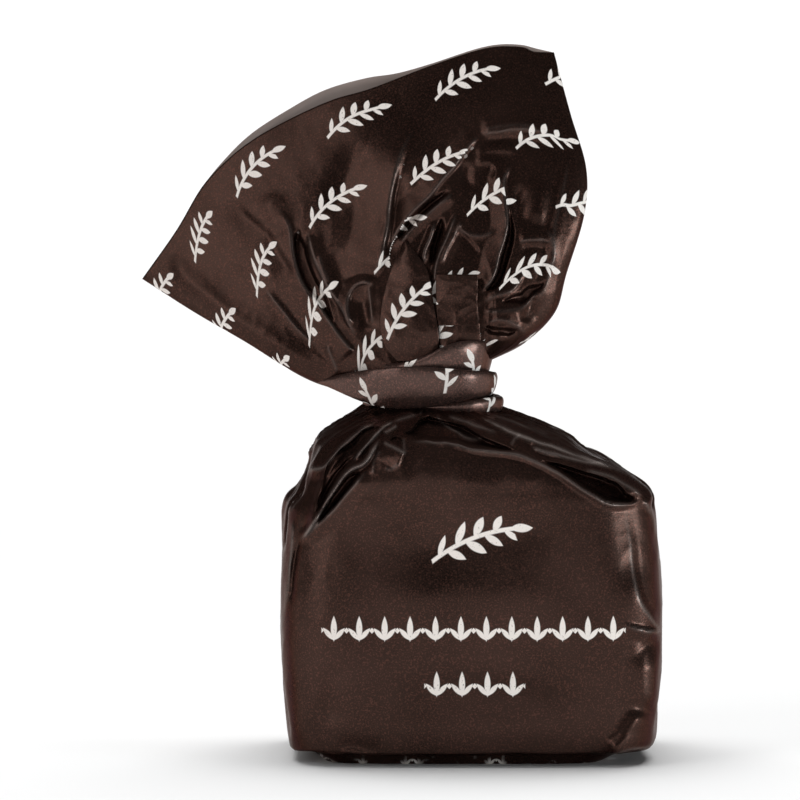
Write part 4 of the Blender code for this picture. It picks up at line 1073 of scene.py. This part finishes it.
class TRUFFLE_OT_fan(bpy.types.Operator):
    """Make the fan of film above the neck, with its open mouth and grey inside"""

    bl_idname = "truffle.fan"
    bl_label = "Fan"

    def execute(self, context):
        sizes, look = context.scene.truffle_sizes, context.scene.truffle_look
        fan, middle, highlight_and_wear, sheets, front, around, moves = film_fan(sizes, look)
        rows, columns = highlight_and_wear.shape
        wall = sizes.thickness / MM
        kept = np.linspace(rows - 1, rows // 2, INSIDE_RINGS).astype(int)
        inner = (fan - wall * grid_normals(fan))[kept]
        depth = middle[kept]
        side = np.where(np.arange(columns) < front, -1.0, 1.0)
        least = 0.02
        gap = np.maximum((inner[..., 1] - depth) * side, least)
        close = smoothstep(np.linspace(1.0, 0.0, INSIDE_RINGS) / 0.5)[:, None]
        inner[..., 1] = depth + side * np.maximum(gap * (0.2 + 0.8 * close), least)
        points = np.concatenate([fan.reshape(-1, 3), inner.reshape(-1, 3), [fan[0].mean(axis=0) - (0, 0, 1.0)]])
        total = rows + len(inner)
        outer = ring_faces(total, columns)
        faces = outer.tolist()
        low = len(points) - 1
        faces += [((i + 1) % columns, i, low) for i in range(columns)]
        end = inner[-1]
        last = (total - 1) * columns
        a, b = 1, columns - 1
        faces.append((last, last + 1, last + b))
        while a < front or b > front:
            if b == front or (a < front and end[a + 1, 0] < end[b - 1, 0]):
                faces.append((last + a, last + a + 1, last + b))
                a += 1
            else:
                faces.append((last + a, last + b - 1, last + b))
                b -= 1
        faces = [f for f in faces if len(set(f)) == len(f)]
        # Painted shade: the fan's film is made darker
        film = film_material("film_fan", look, sheet_print(look, math.radians(10)), 0.9, lines=True)
        obj = new_mesh("wrapper_fan", points, faces, [film, inside_material(look)])
        store_highlight_and_wear(obj.data, np.concatenate([highlight_and_wear.reshape(-1), np.zeros(inner.shape[0] * columns + 1)]))
        quads = len(outer)
        inside = np.zeros(len(faces), np.int32)
        inside[(rows - 1) * columns : quads] = 1
        inside[quads + columns :] = 1
        obj.data.polygons.foreach_set("material_index", inside)
        uv = np.zeros((len(obj.data.loops), 2))
        outer_uv = np.zeros((rows - 1, columns, 4, 2))
        for part, sheet in zip((slice(0, front), slice(front, columns)), sheets):
            on = np.arange(columns)[part]
            for k, place in enumerate(sheet):
                corners = place[:-1, on], place[:-1, on + 1], place[1:, on + 1], place[1:, on]
                outer_uv[:, part, :, k] = np.stack(corners, axis=-1)
        centres = (around[:-1, :-1] + around[1:, :-1] + around[:-1, 1:] + around[1:, 1:]) / 4
        shift = np.zeros(centres.shape)
        for outline, move in moves:
            shift[inside_outline(centres[..., 0], centres[..., 1], outline)] = move
        outer_uv[:, :front] += shift[:, :front, None, :]
        uv[: outer_uv.size // 2] = outer_uv.reshape(-1, 2)
        store_sheet(obj.data, uv)
        face_out(obj)
        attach(obj, BODY)
        return {"FINISHED"}


def strip_tree():
    """Geometry nodes that sweep a flattened, creased strip of film along a curve.

    The curve's radius is half the height of the strip.
    """
    group = bpy.data.node_groups.new("wound_strip", "GeometryNodeTree")
    face = group.interface
    face.new_socket("Path", in_out="INPUT", socket_type="NodeSocketGeometry")
    numbers = {"Thickness": 0.0008, "Crease": 0.00012, "Lean": 0.0, "Seed": 1.0, "Print start": 0.0}
    for name, value in numbers.items():
        face.new_socket(name, in_out="INPUT", socket_type="NodeSocketFloat").default_value = value
    face.new_socket("Film", in_out="INPUT", socket_type="NodeSocketMaterial")
    face.new_socket("Strip", in_out="OUTPUT", socket_type="NodeSocketGeometry")
    tree = Tree(group)
    start = tree.node("NodeGroupInput").outputs
    thickness, creases, lean, seed, print_start = (Number(tree, start[name]) for name in numbers)
    path = tree.out("GeometryNodeResampleCurve", None, {"Curve": start["Path"], "Count": 150})
    path = tree.stored(path, "share", tree.node("GeometryNodeSplineParameter").outputs["Length"])
    path = tree.stored(path, "tangent", tree.out("GeometryNodeInputTangent"), "FLOAT_VECTOR")
    path = tree.stored(path, "half", tree.out("GeometryNodeInputRadius"))
    path = tree.stored(path, "spine", tree.out("GeometryNodeInputPosition"), "FLOAT_VECTOR")
    path = tree.out("GeometryNodeSetCurveRadius", None, {"Curve": path, "Radius": 1.0})
    ring = tree.out("GeometryNodeCurvePrimitiveCircle", None, {"Resolution": 40, "Radius": 0.0001})
    ring = tree.stored(ring, "turn", tree.node("GeometryNodeSplineParameter").outputs["Factor"])
    tube = tree.out("GeometryNodeCurveToMesh", None, {"Curve": path, "Profile Curve": ring, "Fill Caps": True})
    angle, half, length = (Number(tree, tree.recalled(name)) for name in ("turn", "half", "share"))
    angle = angle * (2 * math.pi)
    c, s = angle.math("COSINE"), angle.math("SINE")
    across = c * (abs(c) + 0.0001) ** -0.45
    tall = s * (abs(s) + 0.0001) ** -0.5
    tx, ty, _ = tree.parts(tree.recalled("tangent", "FLOAT_VECTOR"))
    flat = (tx * tx + ty * ty).math("SQRT").high(0.0001)
    z = tall * half
    place = tree.vector(length * 320.0 + seed * 7.0, z * 260.0 + length * 150.0, seed)
    crease = (tree.noise(place, 1.0, 2.0) - 0.5) * 4.0
    place = tree.vector(length * 900.0 + seed * 3.0, z * 500.0, seed + 9.0)
    ridge = 1.0 - abs(tree.noise(place, 1.0, 1.0) - 0.5) * 5.0
    thick = thickness / 2.0
    crown = (1.0 - tall * tall) * thick * 0.6
    depth = across * thick + crown + (crease + ridge * 0.5) * creases + z * lean
    offset = tree.vector(ty / flat * depth, tx / flat * depth * -1.0, z)
    spine = tree.recalled("spine", "FLOAT_VECTOR")
    moved = tree.out("ShaderNodeVectorMath", {"operation": "ADD"}, {0: spine, 1: offset})
    strip = tree.out("GeometryNodeSetPosition", None, {"Geometry": tube, "Position": moved})
    per_metre = 1 / (SHEET_UNIT * MM)
    sheet = tree.vector((z + 0.0025) * per_metre, (length + print_start) * per_metre, 0.0)
    strip = tree.stored(strip, "Sheet", sheet, "FLOAT2", "CORNER")
    strip = tree.out("GeometryNodeSetShadeSmooth", None, {"Geometry": strip})
    strip = tree.out("GeometryNodeRealizeInstances", None, {0: strip})
    strip = tree.out("GeometryNodeSetMaterial", None, {"Geometry": strip, "Material": start["Film"]})
    tree.node("NodeGroupOutput", None, {0: strip})
    return group


def from_nodes(name, source, group, values):
    """Runs a node group on a source object and keeps the result as a plain mesh object."""
    modifier = source.modifiers.new("shape", "NODES")
    modifier.node_group = group
    for item in group.interface.items_tree:
        if item.in_out == "INPUT" and item.name in values:
            modifier[item.identifier] = values[item.name]
    bpy.context.view_layer.update()
    graph = bpy.context.evaluated_depsgraph_get()
    mesh = bpy.data.meshes.new_from_object(source.evaluated_get(graph), depsgraph=graph)
    source.modifiers.remove(modifier)
    bpy.data.objects.remove(source, do_unlink=True)
    return new_object(name, mesh)


class TRUFFLE_OT_neck(bpy.types.Operator):
    """Wind the strips of film round the neck"""

    bl_idname = "truffle.neck"
    bl_label = "Neck strips"

    def execute(self, context):
        sizes, look = context.scene.truffle_sizes, context.scene.truffle_look
        group = strip_tree()
        # Painted highlight: the neck strips' film is made about twice as light, standing for the sheen on the band
        film = film_material("film_neck", look, sheet_print(look, math.radians(-8)), 2.05)
        for number, (name, print_start, stations) in enumerate(STRIPS):
            path = at_share(stations, np.linspace(0.0, 1.0, 60))
            curve = bpy.data.curves.new(name, "CURVE")
            curve.dimensions = "3D"
            spline = curve.splines.new("POLY")
            spline.points.add(len(path) - 1)
            for point, (x, y, top, bottom) in zip(spline.points, path):
                point.co = (x * MM, y * MM, (top + bottom) / 2 * MM, 1.0)
                point.radius = (top - bottom) / 2 * MM
            obj = from_nodes(name, new_object(name + "_path", curve), group, {
                "Thickness": sizes.strip_thickness, "Crease": 0.00007, "Lean": 0.20, "Seed": 1.3 + 2.1 * number,
                "Print start": print_start * MM, "Film": film,
            })
            face_out(obj)
            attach(obj, BODY)
        return {"FINISHED"}


class TRUFFLE_OT_flaps(bpy.types.Operator):
    """Make the loose flaps of film that stand against the front of the fan"""

    bl_idname = "truffle.flaps"
    bl_label = "Flaps"

    def execute(self, context):
        sizes, look = context.scene.truffle_sizes, context.scene.truffle_look
        graph = context.evaluated_depsgraph_get()
        tree = BVHTree.FromObject(bpy.data.objects["wrapper_fan"], graph)
        film = film_material("film_flap", look, sheet_print(look, 0.0))
        rows, columns = FLAP_ROWS, FLAP_COLUMNS
        half = rows * columns
        index = np.arange(half).reshape(rows, columns)
        corners = index[:-1, :-1], index[:-1, 1:], index[1:, 1:], index[1:, :-1]
        quads = np.stack(corners, axis=-1).reshape(-1, 4).tolist()
        rim = np.concatenate([index[0], index[1:, -1], index[-1, -2::-1], index[-2:0:-1, 0]]).tolist()
        faces = quads + [[half + q for q in reversed(f)] for f in quads]
        faces += [(a, half + a, half + b, b) for a, b in zip(rim, rim[1:] + rim[:1])]
        wall = sizes.thickness / MM
        for number, (name, lift, side_lift, spot, slope, outline) in enumerate(FLAPS):
            edge = at_share(outline, np.linspace(0.0, 1.0, rows))
            share = np.linspace(0.0, 1.0, columns)
            x = edge[:, 1:2] + (edge[:, 2:3] - edge[:, 1:2]) * share
            z = np.repeat(edge[:, :1], columns, axis=1)
            y = np.zeros(x.shape)
            for place in np.ndindex(x.shape):
                start = Vector((x[place], -60.0, z[place])) * MM
                hit = tree.ray_cast(start, Vector((0.0, 1.0, 0.0)))[0]
                y[place] = hit.y / MM if hit else np.nan
            known = ~np.isnan(y)
            terms = np.stack([np.ones(x.size), x.ravel(), z.ravel(), x.ravel() ** 2, z.ravel() ** 2], axis=-1)
            fit = (terms @ np.linalg.lstsq(terms[known.ravel()], y[known], rcond=None)[0]).reshape(x.shape)
            over = min(np.nanmax(fit - np.where(known, y, fit)), 1.0)
            up = np.linspace(0.0, 1.0, rows)[:, None]
            place = np.stack([x, np.full(x.shape, 9.0 * number), z], axis=-1)
            crease = 0.14 * (ridged(place, 2.4, 3.3 + number) - 0.3)
            crown = 0.30 * np.sin(math.pi * share)[None, :] * (0.4 + 0.6 * up)
            off = (over + 0.25 + lift * up + side_lift * share[None, :]) * smoothstep((z - 33.2) / 3.0)
            y = fit - off - crown - crease
            front = np.stack([x, y, z], axis=-1)
            back = front + (0.0, wall * 1.6, 0.0)
            points = np.concatenate([front.reshape(-1, 3), back.reshape(-1, 3)])
            obj = new_mesh(name, points, faces, [film])
            away = turned(*(points[:, [0, 2]] - spot).T, math.radians(slope))
            sheet = np.stack(away, axis=-1) + (look.sprig_pitch / MM / 2, look.row_pitch / MM / 2)
            loops = np.zeros(len(obj.data.loops), np.int32)
            obj.data.loops.foreach_get("vertex_index", loops)
            store_sheet(obj.data, sheet[loops])
            face_out(obj)
            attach(obj, BODY)
        return {"FINISHED"}


class TRUFFLE_OT_studio(bpy.types.Operator):
    """Set up the pale floor, the soft lights and the camera"""

    bl_idname = "truffle.studio"
    bl_label = "Studio"

    def execute(self, context):
        studio = context.scene.truffle_studio
        angles = ring_angles(FLOOR_TURNS // 2, FLOOR_TURNS // 2)
        across, ahead = np.cos(angles), np.sin(angles)
        rise = FLOOR_RISE * smoothstep((FLOOR_RINGS - FLOOR_FLAT) / (FLOOR_RINGS[-1] - FLOOR_FLAT))
        flat = np.ones(FLOOR_TURNS)
        rings = [np.stack([r * across, r * ahead, h * flat], axis=-1) for r, h in zip(FLOOR_RINGS, rise)]
        faces = ring_faces(len(rings), FLOOR_TURNS)[:, ::-1].tolist()
        middle = len(rings) * FLOOR_TURNS
        faces += [(i, (i + 1) % FLOOR_TURNS, middle) for i in range(FLOOR_TURNS)]
        white, tree, shader = new_material("pale_floor")
        tree.fill(shader, {"Base Color": (0.88, 0.88, 0.88, 1.0), "Roughness": 0.9, "Specular IOR Level": 0.1})
        floor = new_mesh("floor", np.concatenate([*rings, [[0.0, 0.0, 0.0]]]), faces, [white])
        world = bpy.data.worlds.new("surround")
        world.use_nodes = True
        back = world.node_tree.nodes["Background"]
        back.inputs[0].default_value = (1.0, 1.0, 1.0, 1.0)
        back.inputs[1].default_value = studio.surround
        context.scene.world = world
        context.scene.view_settings.view_transform = "Standard"
        for name, place, size, share in LIGHTS:
            data = bpy.data.lights.new(name, "AREA")
            data.energy = studio.overhead if name == "overhead" else studio.key_power * share
            data.size = size
            if name == "right":
                data.shape, data.size_y, data.color = "RECTANGLE", 0.24 * size, (0.84, 0.96, 1.0)
            light = new_object(name, data)
            light.location = place
            light.visible_glossy = name != "overhead"
            light.rotation_euler = (Vector((0.0, 0.0, 0.03)) - Vector(place)).to_track_quat("-Z", "Y").to_euler()
        data = bpy.data.cameras.new("camera")
        data.lens, data.sensor_width = studio.lens, 36.0
        wide = PHOTO_WIDTH * PACK_WIDTH / BODY_IN_PHOTO * MM
        away = wide / 2 / math.tan(math.atan(data.sensor_width / 2 / studio.lens))
        tall = studio.height_angle
        camera = new_object("camera", data)
        aim = Vector([part * MM for part in AIM])
        camera.location = aim + away * Vector((0.0, -math.cos(tall), math.sin(tall)))
        camera.rotation_euler = (math.pi / 2 - tall, 0.0, 0.0)
        context.scene.camera = camera
        return {"FINISHED"}


class TRUFFLE_PT_panel(bpy.types.Panel):
    """Lists the sizes, the looks and the steps"""

    bl_label = "Wrapped truffle"
    bl_idname = "TRUFFLE_PT_panel"
    bl_space_type = "VIEW_3D"
    bl_region_type = "UI"
    bl_category = "Truffle"

    def draw(self, context):
        layout = self.layout
        for group in (context.scene.truffle_sizes, context.scene.truffle_look, context.scene.truffle_studio):
            for key in group.__annotations__:
                layout.prop(group, key)
        for step in STEPS:
            layout.operator(step.bl_idname)


STEPS = (TRUFFLE_OT_body, TRUFFLE_OT_fan, TRUFFLE_OT_neck, TRUFFLE_OT_flaps, TRUFFLE_OT_studio)
CLASSES = (FilmSizes, FilmLook, StudioSettings, *STEPS, TRUFFLE_PT_panel)


def register():
    for cls in CLASSES:
        bpy.utils.register_class(cls)
    bpy.types.Scene.truffle_sizes = bpy.props.PointerProperty(type=FilmSizes)
    bpy.types.Scene.truffle_look = bpy.props.PointerProperty(type=FilmLook)
    bpy.types.Scene.truffle_studio = bpy.props.PointerProperty(type=StudioSettings)


def unregister():
    del bpy.types.Scene.truffle_sizes
    del bpy.types.Scene.truffle_look
    del bpy.types.Scene.truffle_studio
    for cls in reversed(CLASSES):
        bpy.utils.unregister_class(cls)


def main():
    register()
    for step in STEPS:
        group, name = step.bl_idname.split(".")
        getattr(getattr(bpy.ops, group), name)()
    bpy.context.view_layer.update()


if __name__ == "__main__":
    main()
